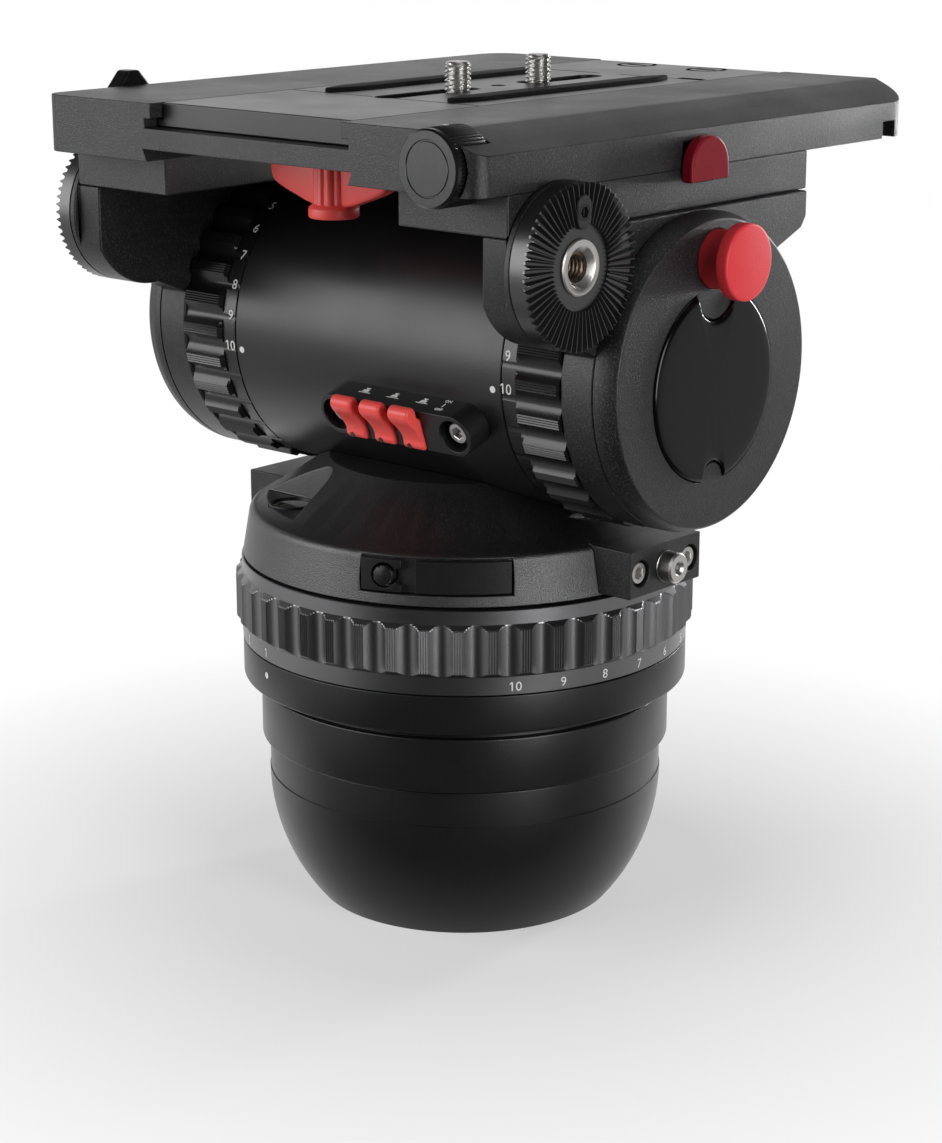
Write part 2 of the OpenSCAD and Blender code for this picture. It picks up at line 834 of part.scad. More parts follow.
module left_end_cap() {
    color(black) side(-1) end_cap();
}

module right_end_cap() {
    color(black) difference() {
        end_cap();
        difference() {
            bar_x(cap_out - badge_seat, 3, badge_r + fit, 0, tilt_z - badge_drop);
            badge_notches(0);
        }
        bar_x(arm_out - 1, cap_t + 2, brake_stem_r + run, 0, tilt_z + brake_rise);
    }
}

// Round notches at the badge's top, under the brake knob, and at its foot
module badge_notches(grow) {
    bar_x(cap_out - 4, 8, notch_top_r + grow, 0, tilt_z - badge_drop + badge_r - 0.5);
    bar_x(cap_out - 4, 8, notch_low_r + grow, 0, tilt_z - badge_drop - badge_r + 0.5);
}

// The bare badge: a shallow dome with its two notches
module badge_disc() {
    color("black") difference() {
        translate([0, 0, tilt_z - badge_drop]) rotate([0, 90, 0]) rotate_extrude() polygon(concat(
            [[0, cap_out - badge_seat], [badge_r, cap_out - badge_seat]],
            [for (i = [0 : 6]) [badge_r * cos(i * 15), cap_out + badge_dome * sin(i * 15)]]));
        badge_notches(notch_gap);
    }
}

module tilt_brake_knob() {
    color(red) union() {
        bar_x(arm_out + 0.2, brake_stem_out - arm_out, brake_stem_r, 0, tilt_z + brake_rise);
        bar_x(brake_stem_out, brake_head_t, brake_r, 0, tilt_z + brake_rise);
    }
}

// A rosette: narrow neck, toothed disc with a raised outer face, hub
module rosette() {
    color(black) difference() {
        union() {
            bar_x(arm_out, rosette_in - arm_out + eps, rosette_neck_r, -rosette_back, rosette_z);
            bar_x(rosette_in, rosette_t, rosette_r, -rosette_back, rosette_z);
        }
        bar_x(arm_out - 1, rosette_t + 4, handle_thread_r + insert_wall + fit, -rosette_back, rosette_z);
        bar_x(rosette_out - rosette_dish, 3, rosette_hub_r, -rosette_back, rosette_z);
        key_space(fit);
        bar_x(arm_out - 1, rosette_t + 3, screw_r + fit, -rosette_back, rosette_z + key_up);
    }
}

// Oblong pocket for a rosette's key
module key_space(grow = 0) {
    x = rosette_out - key_depth - grow;
    for (s = [-1, 1]) bar_x(x, 4, key_r + grow, -rosette_back, rosette_z + key_up + s * key_half);
    translate([x, -rosette_back - key_r - grow, rosette_z + key_up - key_half])
        cube([4, 2 * (key_r + grow), 2 * key_half]);
}

module left_rosette() {
    side(-1) rosette();
}

module right_rosette() {
    side(1) rosette();
}

module rosette_inserts() {
    color(steel) both() difference() {
        bar_x(arm_in + insert_in, rosette_out - insert_in - arm_in - 0.3,
            handle_thread_r + insert_wall, -rosette_back, rosette_z);
        bar_x(arm_in, rosette_out - arm_in, handle_thread_r, -rosette_back, rosette_z);
    }
}

module rosette_keys() {
    color(black) both() difference() {
        intersection() {
            key_space();
            bar_x(arm_out, rosette_out + key_out - arm_out, rosette_r, -rosette_back, rosette_z);
        }
        bar_x(arm_out - 1, rosette_t + 4, screw_r + fit, -rosette_back, rosette_z + key_up);
    }
}

module key_screws() {
    color(steel) both() difference() {
        bar_x(arm_out - 9, rosette_t + 8.6, screw_r, -rosette_back, rosette_z + key_up);
        translate([rosette_out - 2.5, -rosette_back, rosette_z + key_up]) rotate([0, 90, 0])
            cylinder(r = small_hex_r, h = 4, $fn = 6);
    }
}

// An arch in Y and Z: straight foot, round upper corners
function arch_points(y0, y1, z0, z1, r) = concat([[y0, z0], [y1, z0]],
    [for (a = [0 : 11.25 : 90]) [y1 - r + r * cos(a), z1 - r + r * sin(a)]],
    [for (a = [90 : 11.25 : 180]) [y0 + r + r * cos(a), z1 - r + r * sin(a)]]);

// Shallow pocket that the release latch's foot slides in, hidden behind its grip
module latch_pocket() {
    translate([pocket_floor, latch_foot_y - latch_travel - gap, pocket_z])
        cube([20, latch_foot_w + latch_travel + 2 * gap, pocket_h]);
}

module slab() {
    difference() {
        translate([slab_in, -slab_near, slab_z]) cube([slab_out - slab_in, slab_near + slab_far, slab_h]);
        bar_x(slab_in - 1, arm_in - slab_in + 1, slab_relief_r);
        bar_x(arm_out - 10, 11, screw_r + fit, -rosette_back, rosette_z + key_up);
        bar_x(arm_in, arm_t + 1, handle_thread_r + insert_wall + fit, -rosette_back, rosette_z);
        for (y = slab_screw_y) translate([slab_mid, y, slab_z - 1]) {
            cylinder(r = screw_r + fit, h = slab_h + 2);
            cylinder(r = cap_room_r, h = 7);
        }
    }
}

module left_slab() {
    color(black) side(-1) slab();
}

module right_slab() {
    color(black) slab();
}

module slab_screws() {
    color(steel) both() for (y = slab_screw_y) translate([slab_mid, y, slab_z + 1.8]) difference() {
        union() {
            cylinder(r = cap_head_r, h = cap_head_h + eps);
            translate([0, 0, cap_head_h]) cylinder(r = screw_r, h = slab_h + 1);
        }
        translate([0, 0, -1]) cylinder(r = hex_r, h = 3.5, $fn = 6);
    }
}

module platform() {
    cl = chan_x - chan_half;
    cr = chan_x + chan_half;
    color(black) difference() {
        intersection() {
            along_y(-plat_near, plat_near + plat_far) polygon([
                [-plat_half, plat_z], [chan_x - tail_half + tail_neck, plat_z], [chan_x - tail_half, web_z],
                [chan_x + tail_half, web_z], [chan_x + tail_half - tail_neck, plat_z], [plat_half, plat_z],
                [plat_half, plat_top - bevel_h], [plat_half - bevel_w, plat_top], [cr, plat_top],
                [cr, undercut_z], [cr + undercut, undercut_z], [cr + undercut, floor_z],
                [cl - undercut, floor_z], [cl - undercut, undercut_z], [cl, undercut_z],
                [cl, plat_top], [-plat_half, plat_top]]);
            translate([0, 0, plat_z - 1]) linear_extrude(plat_h + 2)
                polygon(plan_points(plat_half, -plat_near, plat_far, near_corner_r, far_corner_r));
        }
        // Thumbwheel seat and its spindle bore
        bar_y(-plat_near - 1, wheel_seat_end + plat_near + 1, wheel_r + gap, wheel_x, wheel_z);
        bar_y(-plat_near, wheel_y + wheel_pin_l + 1 + plat_near, wheel_pin_r + run, wheel_x, wheel_z);
        latch_pocket();
        // Clamp lever pivot, wing lever pivot, slab screws
        bar_x(-plat_half - 1, clamp_pin_l + 1.5, clamp_pin_r + run, -clamp_back, clamp_z);
        translate([chan_x, -wing_back, web_z - 1]) cylinder(r = wing_pin_r + run, h = web_t - 1);
        both() for (y = slab_screw_y) translate([slab_mid, y, plat_z - 1]) cylinder(r = screw_r + fit, h = 8.5);
        // Notch under the right rail's far end
        translate([plat_half - 5, plat_far - 19, plat_z - 1]) cube([10, 8, 7]);
    }
}

module thumbwheel() {
    color(black) difference() {
        union() {
            translate([wheel_x, wheel_y + wheel_l, wheel_z]) rotate([90, 0, 0])
                linear_extrude(wheel_l - wheel_face_h)
                    polygon(rib_points(wheel_knurls, wheel_r - 0.5, wheel_r));
            bar_y(wheel_y, wheel_face_h + eps, wheel_r - 0.2, wheel_x, wheel_z);
            bar_y(wheel_y + wheel_l - eps, wheel_pin_l - wheel_l, wheel_pin_r, wheel_x, wheel_z);
        }
        bar_y(wheel_y - 1, 1.5, wheel_ring_r, wheel_x, wheel_z);
    }
}

// The latch: a foot inside the pocket, and an arched grip that hangs a little over the slab
module release_latch() {
    y0 = latch_y - latch_w / 2;
    y1 = latch_y + latch_w / 2;
    grip_in = plat_half + gap;
    color(red) union() {
        translate([latch_in, latch_foot_y, pocket_z + gap])
            cube([grip_in - latch_in + eps, latch_foot_w, pocket_h - 2 * gap]);
        along_x(grip_in, latch_out - grip_in) polygon(arch_points(y0, y1, latch_z, latch_top, latch_r));
    }
}

module wing_lever() {
    color(red) translate([chan_x, -wing_back, 0]) union() {
        translate([0, 0, wing_z]) cylinder(r = wing_flange_r, h = wing_flange_h);
        translate([0, 0, wing_z + 1]) cylinder(r = wing_col_r, h = wing_blade_top - wing_z - 1);
        translate([0, 0, wing_blade_top - eps]) cylinder(r = wing_pin_r, h = web_t - 2);
        along_y(-wing_t / 2, wing_t) polygon([[-wing_half, wing_blade_top], [wing_half, wing_blade_top],
            [wing_half - wing_taper, wing_blade_z], [wing_col_r, wing_z + wing_flange_h + wing_taper],
            [-wing_col_r, wing_z + wing_flange_h + wing_taper], [wing_taper - wing_half, wing_blade_z]]);
    }
}

module clamp_lever() {
    y = -clamp_back;
    tip = y - clamp_l;
    color(black) mirror([1, 0, 0]) union() {
        bar_x(plat_half - clamp_pin_l, clamp_pin_l + gap + eps, clamp_pin_r, y, clamp_z);
        bar_x(clamp_in, clamp_out - clamp_in, clamp_hub_r, y, clamp_z);
        along_x(clamp_in + 1.5, clamp_bar_t) polygon([
            [y, clamp_z - clamp_bar_h / 2], [y, clamp_z + clamp_bar_h / 2],
            [tip, clamp_z + clamp_bar_h / 2], [tip, clamp_z - clamp_bar_h / 2]]);
        along_x(clamp_in + 1.5, clamp_bar_t + 1) polygon([
            [tip + grip_half, clamp_z - grip_drop], [tip + grip_half, clamp_z + grip_rise * 0.55],
            [tip + grip_half * 0.3, clamp_z + grip_rise], [tip - grip_half * 0.3, clamp_z + grip_rise],
            [tip - grip_half, clamp_z + grip_rise * 0.55], [tip - grip_half, clamp_z - grip_drop * 0.6],
            [tip - grip_half * 0.5, clamp_z - grip_drop]]);
    }
}

// A slot with round ends along Y, at the middle of the plate
module long_slot(y0, y1, r, z, h) {
    for (y = [y0 + r, y1 - r]) translate([chan_x, y, z]) cylinder(r = r, h = h);
    translate([chan_x - r, y0 + r, z]) cube([2 * r, y1 - y0 - 2 * r, h]);
}

module camera_plate() {
    half = chan_half - plate_fit;
    foot = chan_half + undercut - plate_fit;
    ledge = undercut_z - plate_fit;
    color(black) difference() {
        along_y(plate_near, plate_l) translate([chan_x, 0]) polygon([
            [-foot, floor_z + 0.2], [foot, floor_z + 0.2], [foot, ledge], [half, ledge],
            [half, plat_top], [-half, plat_top], [-half, ledge], [-foot, ledge]]);
        for (s = [near_slot, far_slot]) long_slot(s[0] - 5, s[1] + 5, camera_screw_r + gap, floor_z - 1, 20);
        long_slot(near_slot[0] - 10, far_slot[1] + 10, groove_half, floor_z - 1, screw_head_h + 1.6);
        translate([chan_x, (near_slot[1] + far_slot[0]) / 2, floor_z]) cylinder(r = plate_hole_r, h = 20);
    }
}

module plate_pads() {
    y1 = pad_start + pad_l;
    color([0.05, 0.05, 0.05]) for (s = [-1, 1]) translate([chan_x + s * pad_half, 0, plat_top])
        linear_extrude(pad_h) polygon([
            [-pad_w / 2, pad_start + pad_point], [0, pad_start], [pad_w / 2, pad_start + pad_point],
            [pad_w / 2, y1 - pad_point], [0, y1], [-pad_w / 2, y1 - pad_point]]);
}

module camera_screw(y) {
    color(steel) translate([chan_x, y, 0]) difference() {
        union() {
            translate([0, 0, floor_z + 0.5]) cylinder(r = screw_head_r, h = screw_head_h);
            translate([0, 0, floor_z + 0.5]) cylinder(r = camera_screw_r - screw_neck, h = plat_top - floor_z);
            translate([0, 0, plat_top]) cylinder(r = camera_screw_r, h = camera_screw_h);
        }
        translate([0, 0, floor_z]) cylinder(r = screw_hex_r, h = 2.5, $fn = 6);
    }
}

module camera_screw_near() {
    camera_screw(near_screw_y);
}

module camera_screw_far() {
    camera_screw(far_screw_y);
}

bowl_base();
index_collar();
tie_down_insert();
pan_spindle();
pan_drag_stator();
pan_drag_ring();
pan_housing();
pan_bearings();
pan_drag_rotor();
bubble_vial();
bubble_bezel();
left_brake_block();
right_brake_block();
block_screws();
brake_studs();
light_switch_plate();
light_button();
battery_cover();
coin_cell();
tilt_tube();
tilt_bearings();
fluid_drag_cartridge();
counterbalance_spring_pack();
tilt_drag_ring();
counterbalance_ring();
lever_housing();
housing_screws();
lever_pin();
spring_lever_1();
spring_lever_2();
spring_lever_3();
tilt_axle();
left_arm();
right_arm();
left_end_cap();
right_end_cap();
badge_disc();
tilt_brake_knob();
left_rosette();
right_rosette();
rosette_inserts();
rosette_keys();
key_screws();
left_slab();
right_slab();
slab_screws();
platform();
thumbwheel();
release_latch();
wing_lever();
clamp_lever();
camera_plate();
plate_pads();
camera_screw_near();
camera_screw_far();
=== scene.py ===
# %% [markdown]
# A fluid video head, dressed around its CAD frame.
# The frame gives every piece its place and its joints, and this file gives each one its surface and finish.
# All lengths below are written in millimetres, as on a drawing, and become metres when a mesh is made.

# %% Load the frame
import json
import math

import bmesh
import bpy
import numpy as np
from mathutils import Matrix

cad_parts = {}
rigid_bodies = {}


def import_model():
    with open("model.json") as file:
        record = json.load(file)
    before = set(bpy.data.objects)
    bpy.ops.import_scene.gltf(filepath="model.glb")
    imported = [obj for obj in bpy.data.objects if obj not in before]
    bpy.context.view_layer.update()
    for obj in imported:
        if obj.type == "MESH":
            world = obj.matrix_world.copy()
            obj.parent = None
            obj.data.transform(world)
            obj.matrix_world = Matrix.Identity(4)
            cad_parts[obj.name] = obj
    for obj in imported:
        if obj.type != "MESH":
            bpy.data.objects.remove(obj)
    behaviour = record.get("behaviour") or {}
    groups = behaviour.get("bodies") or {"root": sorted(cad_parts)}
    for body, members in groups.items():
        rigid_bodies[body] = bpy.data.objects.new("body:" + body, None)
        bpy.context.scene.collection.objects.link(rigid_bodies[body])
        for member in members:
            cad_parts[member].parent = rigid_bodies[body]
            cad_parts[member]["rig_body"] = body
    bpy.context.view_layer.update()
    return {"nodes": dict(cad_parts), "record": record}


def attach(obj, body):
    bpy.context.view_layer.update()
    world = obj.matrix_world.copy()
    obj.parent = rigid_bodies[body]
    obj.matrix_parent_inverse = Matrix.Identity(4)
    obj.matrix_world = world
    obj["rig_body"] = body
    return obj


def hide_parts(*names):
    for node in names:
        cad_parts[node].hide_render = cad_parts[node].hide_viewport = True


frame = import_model()
NODES = frame["nodes"]
SLOT_OF = {row["node"]: row["material_slot"] for row in frame["record"]["subparts"]}
SCENE = bpy.context.scene
MM = 0.001
print("nodes in the frame:", len(NODES))

# %% [markdown]
# Sizes that several pieces share, repeated from the drawing.
# Each could be written where it is used, but then two pieces that touch might drift apart.
# Heights up the pan axis come first, then places along the tilt axis.
# Angles round the pan axis start at the operator's side (-Y) and grow towards +X.
# Angles round the tilt axis start at the operator's side too, and grow upwards.

# %% Shared sizes
RIM_Z, LOW_Z, STEP_Z, COLLAR_Z, RING_Z, SKIRT_Z = 48.0, 62.0, 82.0, 86.0, 100.0, 132.0
BALL_R, STEP_R, COLLAR_R, SPIGOT_R = 74.3, 76.8, 83.2, 72.0
TILT_Z, TUBE_R, TUBE_HALF, TUBE_SPIGOT_R = 212.0, 54.0, 64.0, 45.0
RING_X, BAND_END, RING_END = 64.3, 70.8, 90.3
ARM_IN, ARM_OUT, CAP_OUT, HUB_R = 90.6, 104.1, 112.8, 55.0
ROSETTE_Y, ROSETTE_Z, ROSETTE_R, ROSETTE_OUT = -69.7, 256.7, 26.9, 111.7
FLOOR_Z, PLAT_TOP = 292.1, 300.6
PLATE_X = -1.0
SEGMENTS = 192
POLE_R = 0.01
print("tilt axis above the foot:", TILT_Z, "mm")

# %% [markdown]
# Every new surface is a grid of points worked out with numpy: rows of points, each row as long as the others.
# The faces could be listed anew for each shape, but they depend only on the number of rows and columns,
# and on which sides of the grid are joined round. So one helper lists them for all shapes.

# %% Grid helpers
def turn_steps(count):
    """Angles of equal steps round one full turn; the last is one step short of the first."""
    return np.linspace(0, 2 * np.pi, count, endpoint=False)


def grid_faces(rows, cols, wrap_rows=False, wrap_cols=False):
    """Quads between neighbouring points of a rows by cols grid, joined round on the sides that wrap."""
    i, j = np.meshgrid(np.arange(rows - (not wrap_rows)), np.arange(cols - (not wrap_cols)), indexing="ij")
    down, along = (i + 1) % rows, (j + 1) % cols
    corners = [i * cols + j, i * cols + along, down * cols + along, down * cols + j]
    return np.stack(corners, -1).reshape(-1, 4)


print("faces of a closed grid of three by four:", len(grid_faces(3, 4, True, True)))

# %% [markdown]
# Edges of real parts are never quite sharp. Bevels by hand would take hours:
# an outline with eased corners, carried round an axis, gives the same soft edges in one step.
# Mouldings have no corners at all, so a second helper draws a smooth loop through a few points.

# %% Outline helpers
MOST_OF_SIDE = 0.45


def eased(outline, radius, steps=5):
    """Each corner of a closed outline becomes a quadratic curve between points on its two sides.

    The points lie at most radius from the corner, and at most a fixed share of the shorter side.
    """
    p = np.asarray(outline, float)
    before, after = np.roll(p, 1, 0) - p, np.roll(p, -1, 0) - p
    long_b, long_a = np.linalg.norm(before, axis=1), np.linalg.norm(after, axis=1)
    most = MOST_OF_SIDE * np.minimum(long_b, long_a)
    reach = np.minimum(np.broadcast_to(radius, len(p)), most)[:, None]
    start, end = p + before / long_b[:, None] * reach, p + after / long_a[:, None] * reach
    t = np.linspace(0, 1, steps)[None, :, None]
    curve = (1 - t) ** 2 * start[:, None] + 2 * t * (1 - t) * p[:, None] + t ** 2 * end[:, None]
    return curve.reshape(-1, 2)


def smooth_loop(points, steps=8):
    """A closed cubic curve through a few points; at each it runs as the line between its neighbours does."""
    p = np.asarray(points, float)
    a, b, c, d = (np.roll(p, k, 0)[:, None] for k in (1, 0, -1, -2))
    t = np.linspace(0, 1, steps, endpoint=False)[None, :, None]
    curve = 2 * b + (c - a) * t + (2 * a - 5 * b + 4 * c - d) * t ** 2 + (3 * b - a - 3 * c + d) * t ** 3
    return (curve / 2).reshape(-1, 2)


print("points of an eased square:", len(eased([[0, 0], [1, 0], [1, 1], [0, 1]], 0.1)))

# %% [markdown]
# A mesh becomes a piece of the head when it has a finish and rides on a body of the frame.
# Each surface below could mind its own seams, poles and the direction of its faces.
# Merging doubles and turning the faces outwards here, once, is shorter and never forgotten.

# %% Piece helpers
SAME_POINT, NO_LENGTH = 1e-6, 1e-7


def hang(name, mesh, node, finish, hides, sharp):
    """Shade a mesh smooth up to an angle, give it a finish, and let it ride with the node's body."""
    mesh.polygons.foreach_set("use_smooth", np.ones(len(mesh.polygons), bool))
    mesh.set_sharp_from_angle(angle=math.radians(sharp))
    piece = bpy.data.objects.new(name, mesh)
    SCENE.collection.objects.link(piece)
    mesh.materials.append(finish or FINISH[SLOT_OF[node]])
    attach(piece, NODES[node]["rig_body"])
    if hides:
        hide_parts(node)
    return piece


def new_piece(name, points, faces, node, finish=None, hides=True, sharp=32.0):
    """A mesh from points in millimetres: doubles merged, faces turned outwards, hung on a node's body."""
    places = np.asarray(points, float).reshape(-1, 3) * MM
    mesh = bpy.data.meshes.new(name)
    mesh.from_pydata(places.tolist(), [], faces.tolist() if hasattr(faces, "tolist") else faces)
    bm = bmesh.new()
    bm.from_mesh(mesh)
    bmesh.ops.remove_doubles(bm, verts=bm.verts, dist=SAME_POINT)
    bmesh.ops.dissolve_degenerate(bm, edges=bm.edges, dist=NO_LENGTH)
    bmesh.ops.recalc_face_normals(bm, faces=bm.faces)
    bm.to_mesh(mesh)
    bm.free()
    return hang(name, mesh, node, finish, hides, sharp)


# %% [markdown]
# Cast and painted parts have a fine speckle, anodised parts a finer satin, and moulded ones a soft drift.
# Each could have its own pattern, but all of them are one pattern at different scales.
# So it is one shader group that gives height, flecks and a slow drift.
# It reads Object coordinates, which stay with the part when it moves.

# %% Shader group for grain
COARSE_SHARE, DRIFT_SCALE, FLECK_FULL = 0.62, 35.0, 0.85


def grain_group():
    """Height: fine noise. Flecks: the tops of a coarser noise. Drift: a slow noise over centimetres."""
    group = bpy.data.node_groups.new("surface_grain", "ShaderNodeTree")
    for name, value in (("Scale", 1500.0), ("Fleck Level", 0.6)):
        socket = group.interface.new_socket(name, in_out="INPUT", socket_type="NodeSocketFloat")
        socket.default_value = value
    for name in ("Height", "Flecks", "Drift"):
        group.interface.new_socket(name, in_out="OUTPUT", socket_type="NodeSocketFloat")
    make, link = group.nodes.new, group.links.new
    enter, leave, place = make("NodeGroupInput"), make("NodeGroupOutput"), make("ShaderNodeTexCoord")
    fine, coarse, slow = (make("ShaderNodeTexNoise") for _ in range(3))
    for noise in (fine, coarse, slow):
        link(place.outputs["Object"], noise.inputs["Vector"])
    link(enter.outputs["Scale"], fine.inputs["Scale"])
    wider = make("ShaderNodeMath")
    wider.operation = "MULTIPLY"
    wider.inputs[1].default_value = COARSE_SHARE
    link(enter.outputs["Scale"], wider.inputs[0])
    link(wider.outputs[0], coarse.inputs["Scale"])
    slow.inputs["Scale"].default_value = DRIFT_SCALE
    fine.inputs["Detail"].default_value = 3.0
    top = make("ShaderNodeMapRange")
    link(coarse.outputs["Fac"], top.inputs["Value"])
    link(enter.outputs["Fleck Level"], top.inputs["From Min"])
    top.inputs["From Max"].default_value = FLECK_FULL
    link(fine.outputs["Fac"], leave.inputs["Height"])
    link(top.outputs["Result"], leave.inputs["Flecks"])
    link(slow.outputs["Fac"], leave.inputs["Drift"])
    return group


GRAIN = grain_group()
print("sockets of the grain group:", len(GRAIN.interface.items_tree))

# %% [markdown]
# The gloss of a real part is never quite even. The group's drift gives a number for that at each point,
# and it has to become a roughness. A colour ramp could do it, but a Map Range node says in plain numbers
# which range becomes which. The stage uses the same helper later, to fade its light.

# %% Ramp helper
DRIFT_LOW, DRIFT_HIGH = 0.3, 0.7


def ramp(tree, value, start, end, low=0.0, high=1.0):
    """Value mapped in a straight line from start..end to low..high, and held at the ends."""
    node = tree.nodes.new("ShaderNodeMapRange")
    tree.links.new(value, node.inputs["Value"])
    node.inputs["From Min"].default_value, node.inputs["From Max"].default_value = start, end
    node.inputs["To Min"].default_value, node.inputs["To Max"].default_value = low, high
    return node.outputs["Result"]


print("drift that is used:", DRIFT_LOW, "to", DRIFT_HIGH)

# %% [markdown]
# Every finish is one Principled surface that takes its flecks, gloss and bump from that group.
# It could be painted as a picture, but that needs a flat map of each piece.
# A pattern in space needs none, and has no seams.
# The first finish made is the white of the printed numbers.

# %% Finish helper
def new_finish(name, colour, fleck, rough, scale, depth, metallic=0.0, specular=0.5, coat=0.0, level=0.6):
    """Principled surface: colour mixed to fleck by the flecks, roughness by the drift, bump by the height."""
    material = bpy.data.materials.new(name)
    material.use_nodes = True
    tree = material.node_tree
    make, link = tree.nodes.new, tree.links.new
    shader = tree.nodes["Principled BSDF"]
    shader.inputs["Metallic"].default_value = metallic
    shader.inputs["Specular IOR Level"].default_value = specular
    shader.inputs["Coat Weight"].default_value = coat
    grain = make("ShaderNodeGroup")
    grain.node_tree = GRAIN
    grain.inputs["Scale"].default_value = scale
    grain.inputs["Fleck Level"].default_value = level
    mix = make("ShaderNodeMix")
    mix.data_type = "RGBA"
    mix.inputs["A"].default_value = (*colour, 1.0)
    mix.inputs["B"].default_value = (*fleck, 1.0)
    link(grain.outputs["Flecks"], mix.inputs["Factor"])
    link(mix.outputs["Result"], shader.inputs["Base Color"])
    sheen = ramp(tree, grain.outputs["Drift"], DRIFT_LOW, DRIFT_HIGH, *rough)
    link(sheen, shader.inputs["Roughness"])
    bump = make("ShaderNodeBump")
    bump.inputs["Strength"].default_value = 1.0
    bump.inputs["Distance"].default_value = depth * MM
    link(grain.outputs["Height"], bump.inputs["Height"])
    link(bump.outputs["Normal"], shader.inputs["Normal"])
    return material


PRINT_WHITE = new_finish("print_white", (0.80, 0.80, 0.78), (0.85, 0.85, 0.83), (0.5, 0.6), 1500, 0.0)
print("first finish:", PRINT_WHITE.name)

# %% [markdown]
# Black parts differ by gloss and grain more than by colour: rough cast paint, satin and bright anodising.
# The red pieces are moulded, the latch is a deep clear red, and small fittings are turned steel.
# One black for all would be simpler, but then the head would look like a single casting.

# %% Finishes by slot
FINISH = {
    "black_cast": new_finish("cast_black", (0.006, 0.006, 0.007), (0.10, 0.102, 0.106), (0.36, 0.44),
                             3000, 0.14, level=0.54),
    "black_satin": new_finish("satin_black", (0.007, 0.007, 0.008), (0.014, 0.014, 0.015), (0.32, 0.38),
                              2600, 0.04),
    "black_ring": new_finish("anodised_black", (0.007, 0.007, 0.008), (0.012, 0.012, 0.013), (0.24, 0.30),
                             2600, 0.03),
    "steel": new_finish("turned_steel", (0.60, 0.59, 0.57), (0.68, 0.67, 0.65), (0.32, 0.40),
                        2200, 0.01, metallic=1.0),
    "drag_alloy": new_finish("machined_alloy", (0.42, 0.42, 0.43), (0.5, 0.5, 0.5), (0.35, 0.45),
                             1800, 0.02, metallic=1.0),
    "black_plastic": new_finish("moulded_black", (0.009, 0.009, 0.010), (0.02, 0.02, 0.021), (0.36, 0.44),
                                2200, 0.06, specular=0.4),
    "red_plastic": new_finish("moulded_red", (0.94, 0.092, 0.082), (0.95, 0.13, 0.12), (0.36, 0.44),
                              1400, 0.04),
    "dark_red": new_finish("latch_red", (0.24, 0.009, 0.018), (0.28, 0.014, 0.024), (0.24, 0.32),
                           900, 0.01, specular=0.15),
    "rubber": new_finish("black_rubber", (0.008, 0.008, 0.008), (0.016, 0.016, 0.016), (0.60, 0.70),
                         1800, 0.08, specular=0.08),
    "gloss_black": new_finish("badge_gloss", (0.003, 0.003, 0.003), (0.005, 0.005, 0.005), (0.13, 0.17),
                              400, 0.0, specular=0.22),
    "level_glass": new_finish("level_fluid", (0.020, 0.022, 0.012), (0.03, 0.032, 0.018), (0.05, 0.07),
                              300, 0.0, coat=0.6),
}
for name, node in NODES.items():
    node.data.materials.clear()
    node.data.materials.append(FINISH[SLOT_OF[name]])
print("finishes by slot:", len(FINISH))

# %% [markdown]
# A few pieces share a slot with others but look different on the real head.
# The pan ring mirrors its surroundings as bare anodising does, and the rosettes' teeth shine at their tips.
# A finish of its own for each such piece is easier to tune than a pattern that knows where it is.

# %% Finishes of single pieces
CLAMP_BLACK = new_finish("clamp_black", (0.004, 0.004, 0.004), (0.008, 0.008, 0.008), (0.22, 0.30),
                         1400, 0.03)
# Black of the small screws, also used as the painted shade in the levers' notches.
SCREW_BLACK_AND_NOTCH_SHADE = new_finish("screw_black_and_notch_shade", (0.012, 0.012, 0.012), (0.02, 0.02, 0.02), (0.30, 0.38),
                         2200, 0.02)
KNOB_RED = new_finish("knob_red", (0.88, 0.044, 0.058), (0.92, 0.08, 0.09), (0.42, 0.50), 2300, 0.10)
PAN_SHEEN = new_finish("pan_anodising", (0.21, 0.21, 0.215), (0.25, 0.25, 0.255), (0.32, 0.38),
                       2600, 0.03, metallic=1.0)
HOUSING_CAST = new_finish("housing_cast", (0.005, 0.005, 0.006), (0.05, 0.051, 0.053), (0.34, 0.42),
                          2800, 0.16, specular=1.0, level=0.56)
TOOTH_SATIN = new_finish("tooth_satin", (0.008, 0.008, 0.009), (0.014, 0.014, 0.015), (0.28, 0.34),
                         2600, 0.03, specular=1.0)
# The inserts' thread: a bronze tint, darkened as painted shade of the deep hole it sits in.
THREAD_BRONZE_AND_SHADE = new_finish("thread_bronze_and_painted_shade", (0.16, 0.12, 0.09), (0.22, 0.17, 0.13), (0.30, 0.38),
                         2200, 0.01, metallic=1.0)
# Painted shade for the deck's grooves, plugs and slots: a black that mirrors nothing.
GROOVE_SHADE = new_finish("painted_groove_shade", (0.003, 0.003, 0.003), (0.004, 0.004, 0.004), (0.8, 0.9),
                         2000, 0.0, specular=0.0)
print("the pan ring and the housing get:", PAN_SHEEN.name, "and", HOUSING_CAST.name)

# %% [markdown]
# Many parts of the real head come off a lathe. Such a part could be joined from cylinders and cones,
# which leaves seams to clean. An outline of radius and height, carried once round its axis,
# is the lathe's own way and has no seam.

# %% Turning helpers
def turn_points(outline, axis="z", centre=(0.0, 0.0), segments=SEGMENTS):
    """Outline rows of (radius, height along the axis), each carried round the axis through centre."""
    a = turn_steps(segments)[None, :]
    r, h = np.asarray(outline, float)[:, 0:1], np.asarray(outline, float)[:, 1:2] + 0 * a
    if axis == "z":
        return np.stack([centre[0] + r * np.sin(a), centre[1] - r * np.cos(a), h], -1)
    return np.stack([h, centre[0] - r * np.cos(a), centre[1] + r * np.sin(a)], -1)


